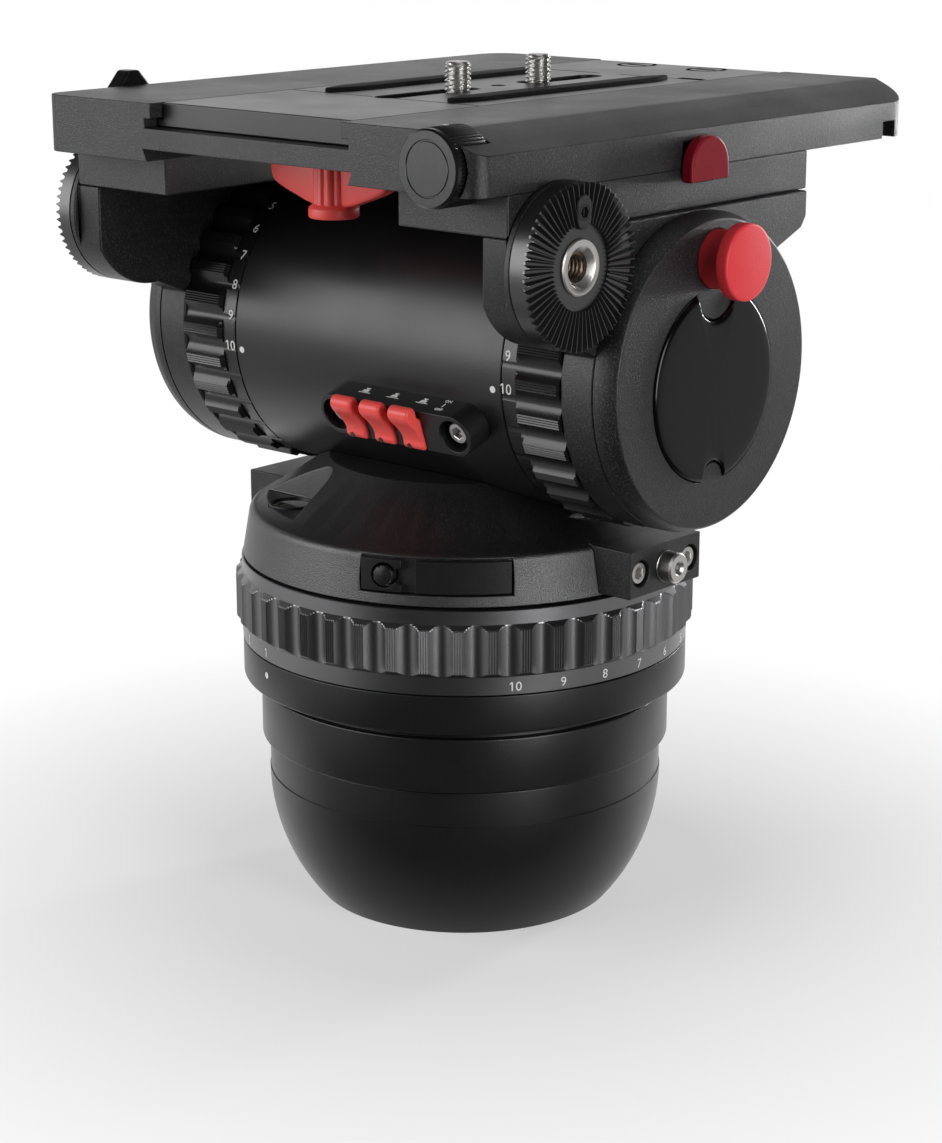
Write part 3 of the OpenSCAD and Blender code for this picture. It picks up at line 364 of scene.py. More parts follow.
def turned(name, outline, node, axis="z", centre=(0.0, 0.0), flip=False, segments=SEGMENTS, **more):
    """A closed turned piece; flip mirrors it to the left side of the head."""
    points = turn_points(outline, axis, centre, segments)
    if flip:
        points = points * (-1, 1, 1)
    return new_piece(name, points, grid_faces(len(outline), segments, True, True), node, **more)


print("steps round a turned part:", SEGMENTS)

# %% [markdown]
# The base is a half-ball with two stepped cylinders over it, and a groove under the collar with the dots.
# The half-ball could be a sphere that is cut flat. In an outline it is only a row of points on an arc,
# and the steps, the groove and the well inside follow it point by point.

# %% Base and collar
ball = np.radians(np.linspace(np.degrees(np.arcsin(RIM_Z / BALL_R)), 0, 14))
ball_side = np.stack([BALL_R * np.cos(ball), RIM_Z - BALL_R * np.sin(ball)], 1)
GROOVE_R, LOW_R, SEAM_R = STEP_R - 2.6, 74.0, 73.4
TIE_R, TIE_TOP, NECK_R = 10.55, 18, 13
SPINDLE_R, SPINDLE_Z, WELL_R, WELL_Z, WELL_TOP = 15.05, 28, 60, 40, SKIRT_Z - 1.5
base_side = eased([[LOW_R, RIM_Z], [LOW_R, LOW_Z - 1.2], [SEAM_R, LOW_Z - 1.0], [SEAM_R, LOW_Z - 0.1],
                   [STEP_R, LOW_Z], [STEP_R, STEP_Z], [GROOVE_R, STEP_Z], [GROOVE_R, COLLAR_Z],
                   [SPIGOT_R, COLLAR_Z], [SPIGOT_R, WELL_TOP], [WELL_R, WELL_TOP], [WELL_R, WELL_Z],
                   [SPINDLE_R, WELL_Z], [SPINDLE_R, SPINDLE_Z], [NECK_R, SPINDLE_Z], [NECK_R, TIE_TOP]],
                  [0, 0.4, 0.1, 0.1, 0.6, 0.7, 0.2, 0, 0, 0.3, 0, 0, 0, 0, 0, 0])
base_outline = np.concatenate([[[TIE_R, TIE_TOP], [TIE_R, 0]], ball_side, base_side])
turned("base_body", base_outline, "bowl_base")
COLLAR_BORE = SPIGOT_R + 0.05
turned("dot_collar", eased([[COLLAR_BORE, COLLAR_Z], [COLLAR_R, COLLAR_Z], [COLLAR_R, RING_Z],
                            [COLLAR_BORE, RING_Z]], [0, 1.0, 0.35, 0]), "index_collar")
print("points of the base's outline:", len(base_outline))

# %% [markdown]
# The three drag rings have ribs with a comb of fine lines on each land, and round scallops between them.
# Cutting each scallop from a plain ring would need hundreds of cuts.
# Here one rib is a short list of radii over its share of the turn, and the list is repeated round the ring.
# Each ring is then a grid: stations along the axis, and at each one either the plain band or the ribs.

# %% Ribs as radii over the turn
def rib_radii(count, low, high, comb=0.28, land=0.30, lines=4, scoop=28):
    """Angles and radii of one turn: a land with a zigzag comb, then a scallop that dips as a parabola."""
    zig = np.linspace(0, land, 2 * lines + 1)
    zig_r = high - comb * (np.arange(2 * lines + 1) % 2)
    dip = np.linspace(land, 1, scoop, endpoint=False)[1:]
    s = (dip - land) / (1 - land)
    dip_r = high - (high - low) * (1 - (2 * s - 1) ** 2)
    share, radius = np.concatenate([zig, dip]), np.concatenate([zig_r, dip_r])
    angle = (np.arange(count)[:, None] + share[None, :] - land / 2) * 2 * np.pi / count
    return angle.ravel(), np.tile(radius, count)


def ribbed_points(stations, angle, radius, place):
    """Rows of (height, limit): each row takes the ribs' radii, but never more than its limit."""
    return np.stack([np.stack(place(angle, np.minimum(radius, limit), h), -1) for h, limit in stations])


def round_pan(angle, radius, h):
    """Polar to plain coordinates round the upright pan axis."""
    return radius * np.sin(angle), -radius * np.cos(angle), h + 0 * angle


def round_tilt(angle, radius, h):
    """Polar to plain coordinates round the level tilt axis."""
    return h + 0 * angle, -radius * np.cos(angle), TILT_Z + radius * np.sin(angle)


PAN_RIBS, TILT_RIBS = 45, 30
FACETED = 1
print("ribs:", PAN_RIBS, "on the pan ring,", TILT_RIBS, "on each tilt ring")

# %% [markdown]
# The pan ring sets the drag of the pan. Its ribs stand on a plain band and slope down at both ends.
# The slope could be a bevel on every rib, but a limit on the radius at a few stations cuts all ribs alike.

# %% Pan drag ring
RIB_LOW, RIB_TOP = RING_Z + 7.0, SKIRT_Z - 6.0
BORE_R = SPIGOT_R + 0.4
RIB_UP, END_SLOPE, SLOPE_STEPS = 2.3, 1.9, 4
PAN_GAP = 0.9
RING_TOP = SKIRT_Z - PAN_GAP
rises = [RIB_UP * k / SLOPE_STEPS for k in range(SLOPE_STEPS + 1)]
chamfer = [(rise, COLLAR_R + 0.05 + rise) for rise in rises]
angle, radius = rib_radii(PAN_RIBS, COLLAR_R + 0.1, COLLAR_R + RIB_UP)
stations = [(RING_Z + 0.3, BORE_R), (RING_Z + 0.3, COLLAR_R - 0.3), (RING_Z + 0.6, COLLAR_R)]
stations += [(RIB_LOW + h * END_SLOPE / RIB_UP, r) for h, r in chamfer]
stations += [(RIB_TOP - h * END_SLOPE / RIB_UP, r) for h, r in reversed(chamfer)]
stations += [(RING_TOP - 0.3, COLLAR_R), (RING_TOP, COLLAR_R - 0.3), (RING_TOP, BORE_R)]
points = ribbed_points(stations, angle, radius, round_pan)
new_piece("pan_dial", points, grid_faces(len(stations), len(angle), True, True), "pan_drag_ring", PAN_SHEEN,
          sharp=FACETED)
print("points of the pan ring:", points.size // 3)

# %% [markdown]
# The tilt drag ring and the counterbalance ring are a pair, one at each end of the tube.
# Both could be built, but the left one is the right one with its sideways place turned round.

# %% Tilt drag ring and counterbalance ring
TILT_RIB_R, TILT_BORE_R = TUBE_R + 2.2, TUBE_SPIGOT_R + 0.4
angle, radius = rib_radii(TILT_RIBS, TUBE_R - 0.2, TILT_RIB_R)
stations = [(RING_X, TILT_BORE_R), (RING_X, TUBE_R - 0.3), (RING_X + 0.3, TUBE_R), (BAND_END, TUBE_R),
            (BAND_END, TUBE_R + 0.6), (BAND_END + 1.2, TILT_RIB_R), (RING_END - 0.5, TILT_RIB_R),
            (RING_END, TUBE_R + 1.7), (RING_END, TILT_BORE_R)]
points = ribbed_points(stations, angle, radius, round_tilt)
faces = grid_faces(len(stations), len(angle), True, True)
new_piece("tilt_dial", points, faces, "tilt_drag_ring", sharp=FACETED)
new_piece("balance_dial", points * (-1, 1, 1), faces, "counterbalance_ring", sharp=FACETED)
print("rib points per turn:", len(angle))

# %% [markdown]
# White numbers and dots are printed on the rings. They could be a picture on the surface,
# but real geometry stays sharp at any distance. Bars and dots come first, as flat and thin solids.

# %% Flat bars and dots
def prism_faces(count):
    """Two flat ends and a ring of sides, for two loops of count points one after the other."""
    k = np.arange(count)
    sides = np.stack([k, (k + 1) % count, (k + 1) % count + count, k + count], 1)
    return [tuple(k), tuple(k + count)] + [tuple(f) for f in sides.tolist()]


def bar_solid(corners, thick=0.1):
    """A flat outline as a thin prism: its points once half a thickness down and once up."""
    p = np.asarray(corners, float)
    level = np.full(len(p), thick / 2)
    return np.concatenate([np.c_[p, -level], np.c_[p, level]]), prism_faces(len(p))


def dot_solid(r, thick=0.1, segments=24):
    """A flat round dot as a short prism."""
    a = turn_steps(segments)
    return bar_solid(np.stack([r * np.cos(a), r * np.sin(a)], 1), thick)


dot, dot_faces = dot_solid(1.2)
print("points of a dot:", len(dot))

# %% [markdown]
# Letters and digits could be drawn point by point, but a text object already knows their outlines.
# It is made a mesh, measured, and scaled until its letters are as tall as those on the real head.

# %% Flat words
def word_solid(text, height, thick=0.1):
    """Points and faces of a word, centred: x to the right, y up, z out, height as for a capital letter."""
    curve = bpy.data.curves.new(text, "FONT")
    curve.body, curve.align_x, curve.align_y, curve.extrude = text, "CENTER", "CENTER", 0.02
    carrier = bpy.data.objects.new(text, curve)
    SCENE.collection.objects.link(carrier)
    mesh = bpy.data.meshes.new_from_object(carrier.evaluated_get(bpy.context.evaluated_depsgraph_get()))
    p = np.zeros(len(mesh.vertices) * 3)
    mesh.vertices.foreach_get("co", p)
    p = p.reshape(-1, 3)
    faces = [tuple(face.vertices) for face in mesh.polygons]
    bpy.data.objects.remove(carrier)
    bpy.data.meshes.remove(mesh)
    low, high = p.min(0), p.max(0)
    p = (p - (low + high) / 2) * (height / (high[1] - low[1]))
    p[:, 2] = np.sign(p[:, 2]) * thick / 2
    return p, faces


print("points of a figure 8:", len(word_solid("8", 1.0)[0]))

# %% [markdown]
# The flat marks are then wrapped round the cylinder that carries them: sideways becomes an angle,
# and thickness a radius. A shrinkwrap modifier could do it too, but this keeps every stroke's width.

# %% Marks wrapped round a cylinder
PRINT_LIFT = 0.05


def wrap_pan(p, turn, z, r):
    """Flat points round the pan axis: x over the radius is an angle, y a height, z adds to the radius."""
    a = math.radians(turn) + p[:, 0] / r
    out = r + PRINT_LIFT + p[:, 2]
    return np.stack([out * np.sin(a), -out * np.cos(a), z + p[:, 1]], 1)


def wrap_tilt(p, turn, x, r):
    """Flat points round the tilt axis: y over the radius is an angle, x a place, z adds to the radius."""
    a = math.radians(turn) + p[:, 1] / r
    out = r + PRINT_LIFT + p[:, 2]
    return np.stack([x + p[:, 0], -out * np.cos(a), TILT_Z + out * np.sin(a)], 1)


def printed(name, marks, node, finish=None):
    """Several marks as one piece: each is (points, faces) in place; white if no finish is given."""
    points, faces, count = [], [], 0
    for p, fs in marks:
        points.append(p)
        faces += [tuple(k + count for k in f) for f in fs]
        count += len(p)
    return new_piece(name, np.concatenate(points), faces, node, finish or PRINT_WHITE, hides=False)


print("middle of a printed mark:", PRINT_LIFT, "mm above the surface")

# %% [markdown]
# Each dial has the numbers 1 to 10, twelve degrees apart, and a dot on the next part shows which one is set.
# They could be typed and placed one by one, but a rule for the angle keeps the spacing exact.
# The built-in letters have a plain bar for a 1, so a small slanted flag is added to it.

# %% Numbers and dots of the dials
PAN_DIGIT, TILT_DIGIT = 3.3, 3.6
FLAG_WIDE, FLAG_TIP, FLAG_LOW = 0.20, 0.34, 0.36
WITH_A_ONE = (0, 9)


def dial(wrap, first, *where, height, step=-12):
    """Numbers 1 to 10, each a step further round; the bar of a 1 gets a slanted flag at its top left."""
    words = [word_solid(str(n), height) for n in range(1, 11)]
    marks = [(wrap(p, first + step * k, *where), fs) for k, (p, fs) in enumerate(words)]
    for k in WITH_A_ONE:
        left, wide = words[k][0][:, 0].min(), FLAG_WIDE * height
        flag, fs = bar_solid([[left, FLAG_LOW * height], [left, height / 2], [left - wide, FLAG_TIP * height],
                              [left - wide, (FLAG_TIP - 0.5 + FLAG_LOW) * height]])
        marks.append((wrap(flag, first + step * k, *where), fs))
    return marks


PAN_FIRST, PAN_SECOND, PAN_DIGIT_Z, PAN_DOT_Z = -18, 162, RING_Z + 3.4, 94.8
pan_marks = dial(wrap_pan, PAN_FIRST, PAN_DIGIT_Z, COLLAR_R, height=PAN_DIGIT)
pan_marks += dial(wrap_pan, PAN_SECOND, PAN_DIGIT_Z, COLLAR_R, height=PAN_DIGIT)
printed("pan_numbers", pan_marks, "pan_drag_ring")
collar_dots = [(wrap_pan(dot, turn, PAN_DOT_Z, COLLAR_R), dot_faces) for turn in (PAN_FIRST, PAN_SECOND)]
printed("collar_dots", collar_dots, "index_collar")
TILT_FIRST, TILT_DIGIT_X, TILT_DOT, TILT_DOT_X = 105, 66.7, -4, 60.4
BALANCE_FIRST, BALANCE_DIGIT_X, BALANCE_DOT, BALANCE_DOT_X = 103, -66.8, -6, -61.2
tilt_marks = dial(wrap_tilt, TILT_FIRST, TILT_DIGIT_X, TUBE_R, height=TILT_DIGIT)
printed("tilt_numbers", tilt_marks, "tilt_drag_ring")
balance_marks = dial(wrap_tilt, BALANCE_FIRST, BALANCE_DIGIT_X, TUBE_R, height=TILT_DIGIT)
printed("balance_numbers", balance_marks, "counterbalance_ring")
tube_dots = [(wrap_tilt(dot, TILT_DOT, TILT_DOT_X, TUBE_R), dot_faces),
             (wrap_tilt(dot, BALANCE_DOT, BALANCE_DOT_X, TUBE_R), dot_faces)]
printed("tube_dots", tube_dots, "tilt_tube")
print("marks on the pan ring:", len(pan_marks))

# %% [markdown]
# The tilt tube is a plain cylinder with a spigot at each end, which the two rings sit on.
# The left end cap is a shallow lid. Two cylinders would do for both, but their rims would be knife sharp.
# They are lathe work, so the turning helper makes them from outlines with eased corners.

# %% Tilt tube and left end cap
TUBE_BORE, TUBE_END = 38, 88.6
CAP_IN, CAP_EDGE_R, CAP_FACE_R = ARM_OUT + 0.02, 53.4, 52.4
tube_side = [[TUBE_BORE, -TUBE_END], [TUBE_SPIGOT_R, -TUBE_END], [TUBE_SPIGOT_R, -TUBE_HALF],
             [TUBE_R, -TUBE_HALF]]
tube_ease = [0, 0.3, 0, 0.4]
tube_outline = eased(tube_side + [[r, -x] for r, x in reversed(tube_side)], tube_ease + tube_ease[::-1])
turned("tube_body", tube_outline, "tilt_tube", axis="x", centre=(0, TILT_Z))
cap_outline = eased([[POLE_R, CAP_IN], [HUB_R, CAP_IN], [HUB_R, ARM_OUT + 3], [CAP_EDGE_R, CAP_OUT - 0.9],
                     [CAP_FACE_R, CAP_OUT], [POLE_R, CAP_OUT]], [0, 0, 1.5, 1.2, 0.8, 0])
turned("left_cap", cap_outline, "left_end_cap", axis="x", centre=(0, TILT_Z), flip=True)
print("tube length between the rings:", 2 * TUBE_HALF, "mm")

# %% [markdown]
# Milled and cast blocks already have the right shape in the frame, but their edges are knife sharp.
# They could be modelled again with rounded edges, which would repeat the drawing.
# A copy with merged points, joined flat triangles and a narrow bevel catches the light as a broken edge does.

# %% Softened copies of milled parts
CAD_SAME_POINT, FLAT_ANGLE, BEVEL_STEPS = 2e-6, 0.6, 2


def softened(node, width, finish=None, sharp=32.0):
    """A copy of a CAD node whose edges sharper than the limit get a bevel of that width in millimetres."""
    bm = bmesh.new()
    bm.from_mesh(NODES[node].data)
    bmesh.ops.remove_doubles(bm, verts=bm.verts, dist=CAD_SAME_POINT)
    bmesh.ops.dissolve_limit(bm, angle_limit=math.radians(FLAT_ANGLE), verts=bm.verts, edges=bm.edges)
    mesh = bpy.data.meshes.new(node)
    bm.to_mesh(mesh)
    bm.free()
    if mesh.has_custom_normals:
        mesh.attributes.remove(mesh.attributes["custom_normal"])
    piece = hang(node + "_body", mesh, node, finish, True, sharp)
    bevel = piece.modifiers.new("edges", "BEVEL")
    bevel.width, bevel.segments, bevel.limit_method = width * MM, BEVEL_STEPS, "ANGLE"
    bevel.angle_limit = math.radians(sharp)
    bevel.harden_normals = True
    bevel.use_clamp_overlap = False
    return piece


SOFT_EDGE = {"pan_housing": 0.5, "left_brake_block": 0.5, "right_brake_block": 0.5,
             "light_switch_plate": 0.25, "light_button": 0.3, "battery_cover": 0.25, "lever_housing": 0.35,
             "left_arm": 0.8, "right_arm": 0.8, "right_end_cap": 0.5, "left_slab": 0.6, "right_slab": 0.6,
             "platform": 0.35, "camera_plate": 0.5, "slab_screws": 0.3, "release_latch": 0.9,
             "clamp_lever": 1.0}
OTHER_FINISH = {"platform": FINISH["black_cast"], "pan_housing": HOUSING_CAST, "clamp_lever": CLAMP_BLACK}
for node, width in SOFT_EDGE.items():
    softened(node, width, OTHER_FINISH.get(node))
print("softened parts:", len(SOFT_EDGE))

# %% [markdown]
# The rosettes hold the pan bars: a ring of radial teeth round a sunk hub, with a steel thread in the middle.
# One tooth could be modelled and arrayed round, but its ends would have to be fitted to the rings by hand.
# In polar form the teeth are a zigzag of height over the angle, deeper towards the rim, and the rest is flat.

# %% Rosettes
TEETH = 60
HUB_HOLE, HUB_EDGE, TOOTH_IN, TOOTH_DEEP = 9.3, 14.0, 14.6, 1.9
HUB_FLOOR, DISC_BACK, DISC_HOLE = ROSETTE_OUT - 1.5, ARM_OUT + 0.05, 19.6
tooth_share = np.array([0.0, 0.10, 0.38, 0.72])
crest = np.tile([1.0, 1.0, 0.0, 0.0], TEETH)
angle = ((np.arange(TEETH)[:, None] + tooth_share) * 2 * np.pi / TEETH).ravel()
rings = [(HUB_HOLE, ARM_OUT, 0), (HUB_HOLE, HUB_FLOOR, 0), (HUB_EDGE, HUB_FLOOR, 0),
         (HUB_EDGE, ROSETTE_OUT, 0.55), (TOOTH_IN, ROSETTE_OUT, 0.6), (ROSETTE_R - 0.5, ROSETTE_OUT, 1.0),
         (ROSETTE_R, ROSETTE_OUT - 0.3, 1.0), (ROSETTE_R, ROSETTE_OUT - 2.4, 0), (ROSETTE_R, DISC_BACK, 0),
         (DISC_HOLE, DISC_BACK, 0), (DISC_HOLE, ARM_OUT, 0)]
rows = [np.stack([x - TOOTH_DEEP * deep * (1 - crest), ROSETTE_Y - r * np.cos(angle),
                  ROSETTE_Z + r * np.sin(angle)], -1) for r, x, deep in rings]
points, faces = np.stack(rows), grid_faces(len(rings), len(angle), True, True)
new_piece("right_toothed_disc", points, faces, "right_rosette", TOOTH_SATIN, sharp=20)
new_piece("left_toothed_disc", points * (-1, 1, 1), faces, "left_rosette", TOOTH_SATIN, sharp=20)
print("teeth on each rosette:", TEETH)

# %% [markdown]
# Two screws in the plate hold the camera.
# A thread could be a profile swept along a helix, as a screw modifier does it.
# A radius that rises and falls along the screw, and shifts by one pitch per turn, needs no sweep.

# %% Camera screws
PITCH = 1.5875
THREAD_R, THREAD_DEEP, FLANK, FLAT_CREST = 4.76, 0.75, 2.6, 0.15
SCREW_FOOT, SCREW_HEAD, SCREW_HEAD_R = FLOOR_Z + 0.5, FLOOR_Z + 3.5, 6.8
SCREW_FROM, SCREW_TO, SCREW_TIP = PLAT_TOP - 3.5, PLAT_TOP + 9.2, PLAT_TOP + 10
SCREW_NEAR_Y, SCREW_FAR_Y = -2.0, 42.5


def thread_rows(start, end, segments=64, per_pitch=10):
    """Heights along the screw and radii of a rounded zigzag that moves one pitch per turn."""
    h = np.linspace(start, end, int((end - start) / PITCH * per_pitch))[:, None]
    a = turn_steps(segments)[None, :]
    phase = (h / PITCH - a / (2 * np.pi)) % 1.0
    wave = np.clip(np.abs(phase - 0.5) * FLANK - FLAT_CREST, 0, 1)
    return h + 0 * a, THREAD_R - THREAD_DEEP * wave, a + 0 * h


def camera_screw(name, y, node):
    """Threaded pin with a chamfered end, on a thin neck and a round head in the plate's groove."""
    h, r, a = thread_rows(SCREW_FROM, SCREW_TO)
    tip_h = np.array([PLAT_TOP + 9.5, SCREW_TIP, SCREW_TIP])[:, None]
    tip_r = np.array([THREAD_R - 0.6, THREAD_R - 1.1, POLE_R])[:, None]
    foot_h = np.array([SCREW_FOOT, SCREW_FOOT, SCREW_HEAD, SCREW_HEAD])[:, None]
    foot_r = np.array([POLE_R, SCREW_HEAD_R, SCREW_HEAD_R, THREAD_R - THREAD_DEEP])[:, None]
    turn = a[:1]
    h = np.concatenate([foot_h + 0 * turn, h, tip_h + 0 * turn])
    r = np.concatenate([foot_r + 0 * turn, r, tip_r + 0 * turn])
    points = np.stack([PLATE_X + r * np.sin(turn), y - r * np.cos(turn), h], -1)
    new_piece(name, points, grid_faces(*h.shape, False, True), node, sharp=40)


camera_screw("camera_screw_1", SCREW_NEAR_Y, "camera_screw_near")
camera_screw("camera_screw_2", SCREW_FAR_Y, "camera_screw_far")
print("camera screws stand out:", SCREW_TIP - PLAT_TOP, "mm")

# %% [markdown]
# In each rosette sits a threaded insert with a bright turned collar and a bronze thread inside, its colour
# darkened as painted shade of the deep hole.
# It is the camera screw's thread seen from within, so the same rows are used again.
# A plain sleeve behind them closes the piece.

# %% Rosette inserts
INSERT_R, SLEEVE_R, THREAD_END, INSERT_BACK = 9.26, 6.1, 3.4, ARM_IN + 2


def on_rosettes(name, h, r, finish=None):
    """Closed rows of heights and radii round both rosette axes, as one piece."""
    a = turn_steps(64)
    points = np.stack([h + 0 * a, ROSETTE_Y - r * np.cos(a), ROSETTE_Z + r * np.sin(a)], -1)
    faces = grid_faces(*points.shape[:2], True, True)
    both = np.concatenate([points.reshape(-1, 3), points.reshape(-1, 3) * (-1, 1, 1)])
    both_faces = np.concatenate([faces, faces + len(both) // 2])
    new_piece(name, both, both_faces, "rosette_inserts", finish, sharp=40)


h, r, a = thread_rows(INSERT_BACK, ROSETTE_OUT - THREAD_END)
sleeve = np.array([ROSETTE_OUT - THREAD_END, INSERT_BACK])[:, None] + 0 * a[:1]
thread_r = np.concatenate([r, SLEEVE_R + 0 * sleeve])
on_rosettes("insert_threads", np.concatenate([h, sleeve]), thread_r, THREAD_BRONZE_AND_SHADE)
INSERT_DEEP = ROSETTE_OUT - ARM_IN - 2
collar = np.array([[SLEEVE_R, INSERT_DEEP], [SLEEVE_R, THREAD_END], [5.0, THREAD_END], [5.0, 2.6], [6.7, 0.8],
                   [7.0, 0.6], [8.8, 0.6], [INSERT_R, 1.0], [INSERT_R, INSERT_DEEP]])
on_rosettes("insert_collars", ROSETTE_OUT - collar[:, 1:], collar[:, :1])
print("thread rows:", len(h))

# %% [markdown]
# Small screws repeat all over the head. Each socket could be cut out of a cylinder with a six-sided bit.
# One grid does it without a cut: its rows are circles, and in the socket the radius follows a hexagon.

# %% Screw helpers
def socket_rows(outline, hexagon, segments=48):
    """Rows of (radius, height); a negative radius is a share of the hexagon, whose corner radius is given.

    A hexagon's radius is the distance of its flats over the cosine of the angle from the middle of a flat.
    """
    a = turn_steps(segments)
    six = np.cos(np.pi / 6) / np.cos((a + np.pi / 6) % (np.pi / 3) - np.pi / 6)
    r = np.stack([hexagon * -size * six if size < 0 else size + 0 * a for size, _ in outline])
    h = np.stack([height + 0 * a for _, height in outline])
    return r, h, a


def stood(rows, foot, axis, side):
    """Rows turned round an axis from a foot point; side is the direction of angle nought."""
    r, h, a = rows
    foot, axis, side = (np.asarray(v, float) for v in (foot, axis, side))
    other = np.cross(axis, side)
    spoke = np.cos(a)[:, None] * side + np.sin(a)[:, None] * other
    return foot + h[..., None] * axis + r[..., None] * spoke


def many(name, parts, node, finish=None, sharp=32.0):
    """Several equal grids, closed at their poles, as one piece."""
    faces = grid_faces(*parts[0].shape[:2], False, True)
    count = parts[0].shape[0] * parts[0].shape[1]
    new_piece(name, np.concatenate([p.reshape(-1, 3) for p in parts]),
              np.concatenate([faces + count * k for k in range(len(parts))]), node, finish, sharp=sharp)


SCREW_R, HEAD_R, HEAD_H = 2.5, 4.0, 4.0
cap_screw = [(POLE_R, -8), (SCREW_R, -8), (SCREW_R, 0), (HEAD_R, 0), (HEAD_R, HEAD_H - 0.5),
             (HEAD_R - 0.4, HEAD_H), (-1.15, HEAD_H), (-1.0, HEAD_H - 0.2), (-1.0, HEAD_H - 2.2),
             (POLE_R, HEAD_H - 2.4)]
cap_screw_rows = socket_rows(cap_screw, 2.2)
print("points of a cap screw:", cap_screw_rows[0].size)

# %% [markdown]
# The two brake blocks on the pan housing carry a pair of cap screws each, with a steel stud between them.
# Rows of one screw are stood at each place, which is lighter than an object and a modifier for every screw.

# %% Screws and studs of the brake blocks
BLOCK_FACE, BLOCK_MID, BLOCK_PITCH, HEAD_SUNK = 94.0, 141.5, 28.0, 5
STUD_R = 5.5
SIDES = (-1, 1)
UP, BACK, RIGHT = (0, 0, 1), (0, 1, 0), (1, 0, 0)
many("block_cap_screws", [stood(cap_screw_rows, (s * (BLOCK_FACE - HEAD_SUNK), y, BLOCK_MID), (s, 0, 0), BACK)
                          for s in SIDES for y in (-BLOCK_PITCH / 2, BLOCK_PITCH / 2)], "block_screws")
stud = [(POLE_R, -8), (STUD_R, -8), (STUD_R, 0.3), (STUD_R - 0.25, 0.5), (STUD_R, 0.7), (STUD_R, 5.2),
        (STUD_R - 0.7, 6), (2.6, 6), (1.7, 5.2), (1.6, 2.4), (POLE_R, 2.0)]
many("brake_spools", [stood(socket_rows(stud, 1.0), (s * BLOCK_FACE, 0, BLOCK_MID), (s, 0, 0), BACK)
                      for s in SIDES], "brake_studs")
print("screw pitch on the blocks:", BLOCK_PITCH, "mm")

# %% [markdown]
# The lever housing sits low on the tube's near side, turned down by an angle, with a cap screw at each end.
# Its pieces are easier to draw in the housing's own directions, so one function turns those into the head's.

# %% Lever housing screws
LEVER_TILT = math.radians(19)
LEVER_BOX_X, LEVER_BOX_L, LEVER_BOX_H, LEVER_FACE = 21.0, 70.5, 15.5, TUBE_R + 10


def on_tube(x, out, up):
    """From the lever housing's own frame, turned down round the tube, to the head's frame."""
    return np.stack([x, -out * math.cos(LEVER_TILT) - up * math.sin(LEVER_TILT),
                     TILT_Z - out * math.sin(LEVER_TILT) + up * math.cos(LEVER_TILT)], -1)


outwards = on_tube(0.0, 1.0, 0.0) - (0, 0, TILT_Z)
ends = [LEVER_BOX_X + s * (LEVER_BOX_L - LEVER_BOX_H) / 2 for s in SIDES]
housing_feet = [on_tube(x, LEVER_FACE - 6.4, 0.0) for x in ends]
many("housing_cap_screws", [stood(cap_screw_rows, foot, outwards, RIGHT) for foot in housing_feet],
     "housing_screws")
print("housing screws at:", ends, "mm")

# %% [markdown]
# A small key with round ends stands among the teeth over each hub, held by a black screw.
# Two half cylinders and a box would make it. A circle whose upper and lower halves are moved apart
# gives the same outline with no joint, so the key is a grid like the others.

# %% Rosette keys
KEY_UP, KEY_R, KEY_HALF, KEY_OUT, KEY_BACK = 17.5, 3.55, 2.0, ROSETTE_OUT + 0.45, -2.9
KEY_Z, KEY_HOLE = ROSETTE_Z + KEY_UP, SCREW_R + 0.05
key_screw = [(POLE_R, -12), (SCREW_R, -12), (SCREW_R, 0.1), (SCREW_R - 0.2, 0.3), (-1.1, 0.3), (-1.0, 0.1),
             (-1.0, -2), (POLE_R, -2.1)]
key_screw_rows = socket_rows(key_screw, 1.9)
many("key_cap_screws", [stood(key_screw_rows, (s * (KEY_OUT - 0.25), ROSETTE_Y, KEY_Z), (s, 0, 0), UP)
                        for s in SIDES], "key_screws", SCREW_BLACK_AND_NOTCH_SHADE)
a = turn_steps(72)
levels = np.array([(KEY_HOLE, KEY_BACK), (KEY_R, KEY_BACK), (KEY_R, -0.35), (KEY_R - 0.3, 0.0),
                   (KEY_HOLE, 0.0)])
r, x = levels[:, :1], levels[:, 1:]
apart = (r > SCREW_R + 0.1) * KEY_HALF * np.sign(np.cos(a))
key = np.stack([KEY_OUT + x + 0 * a, ROSETTE_Y + r * np.sin(a), KEY_Z + r * np.cos(a) + apart], -1)
faces = grid_faces(len(levels), len(a), True, True)
new_piece("tooth_keys", np.concatenate([key.reshape(-1, 3) * (s, 1, 1) for s in SIDES]),
          np.concatenate([faces, faces + len(levels) * len(a)]), "rosette_keys")
print("key length:", 2 * (KEY_R + KEY_HALF), "mm")

# %% [markdown]
# The tilt brake is a mushroom knob: a stem with a wider head, its edges well rounded.
# It is moulded on the real head, but it is round, so an outline turned once is the shortest way.

# %% Brake knob
BRAKE_Z, BRAKE_IN, BRAKE_NECK, BRAKE_OUT = TILT_Z + 39.5, ARM_OUT + 0.2, CAP_OUT + 8.5, CAP_OUT + 13.5
STEM_R, KNOB_R = 10, 13
knob = eased([[POLE_R, BRAKE_IN], [STEM_R, BRAKE_IN], [STEM_R, BRAKE_NECK], [KNOB_R, BRAKE_NECK],
              [KNOB_R, BRAKE_OUT], [POLE_R, BRAKE_OUT]], [0, 0.3, 0.4, 0.7, 1.1, 0])
turned("brake_mushroom", knob, "tilt_brake_knob", axis="x", centre=(0, BRAKE_Z), finish=KNOB_RED)
print("knob stands out:", BRAKE_OUT - CAP_OUT, "mm")

# %% [markdown]
# The badge place stays bare: a polished black dome with a finger notch at the top and at the bottom.
# The notches could be cut out with two cylinders, which leaves ragged edges on a thin dome.
# Here the edge follows the circle, except where a notch circle bites into it: one radius per angle.

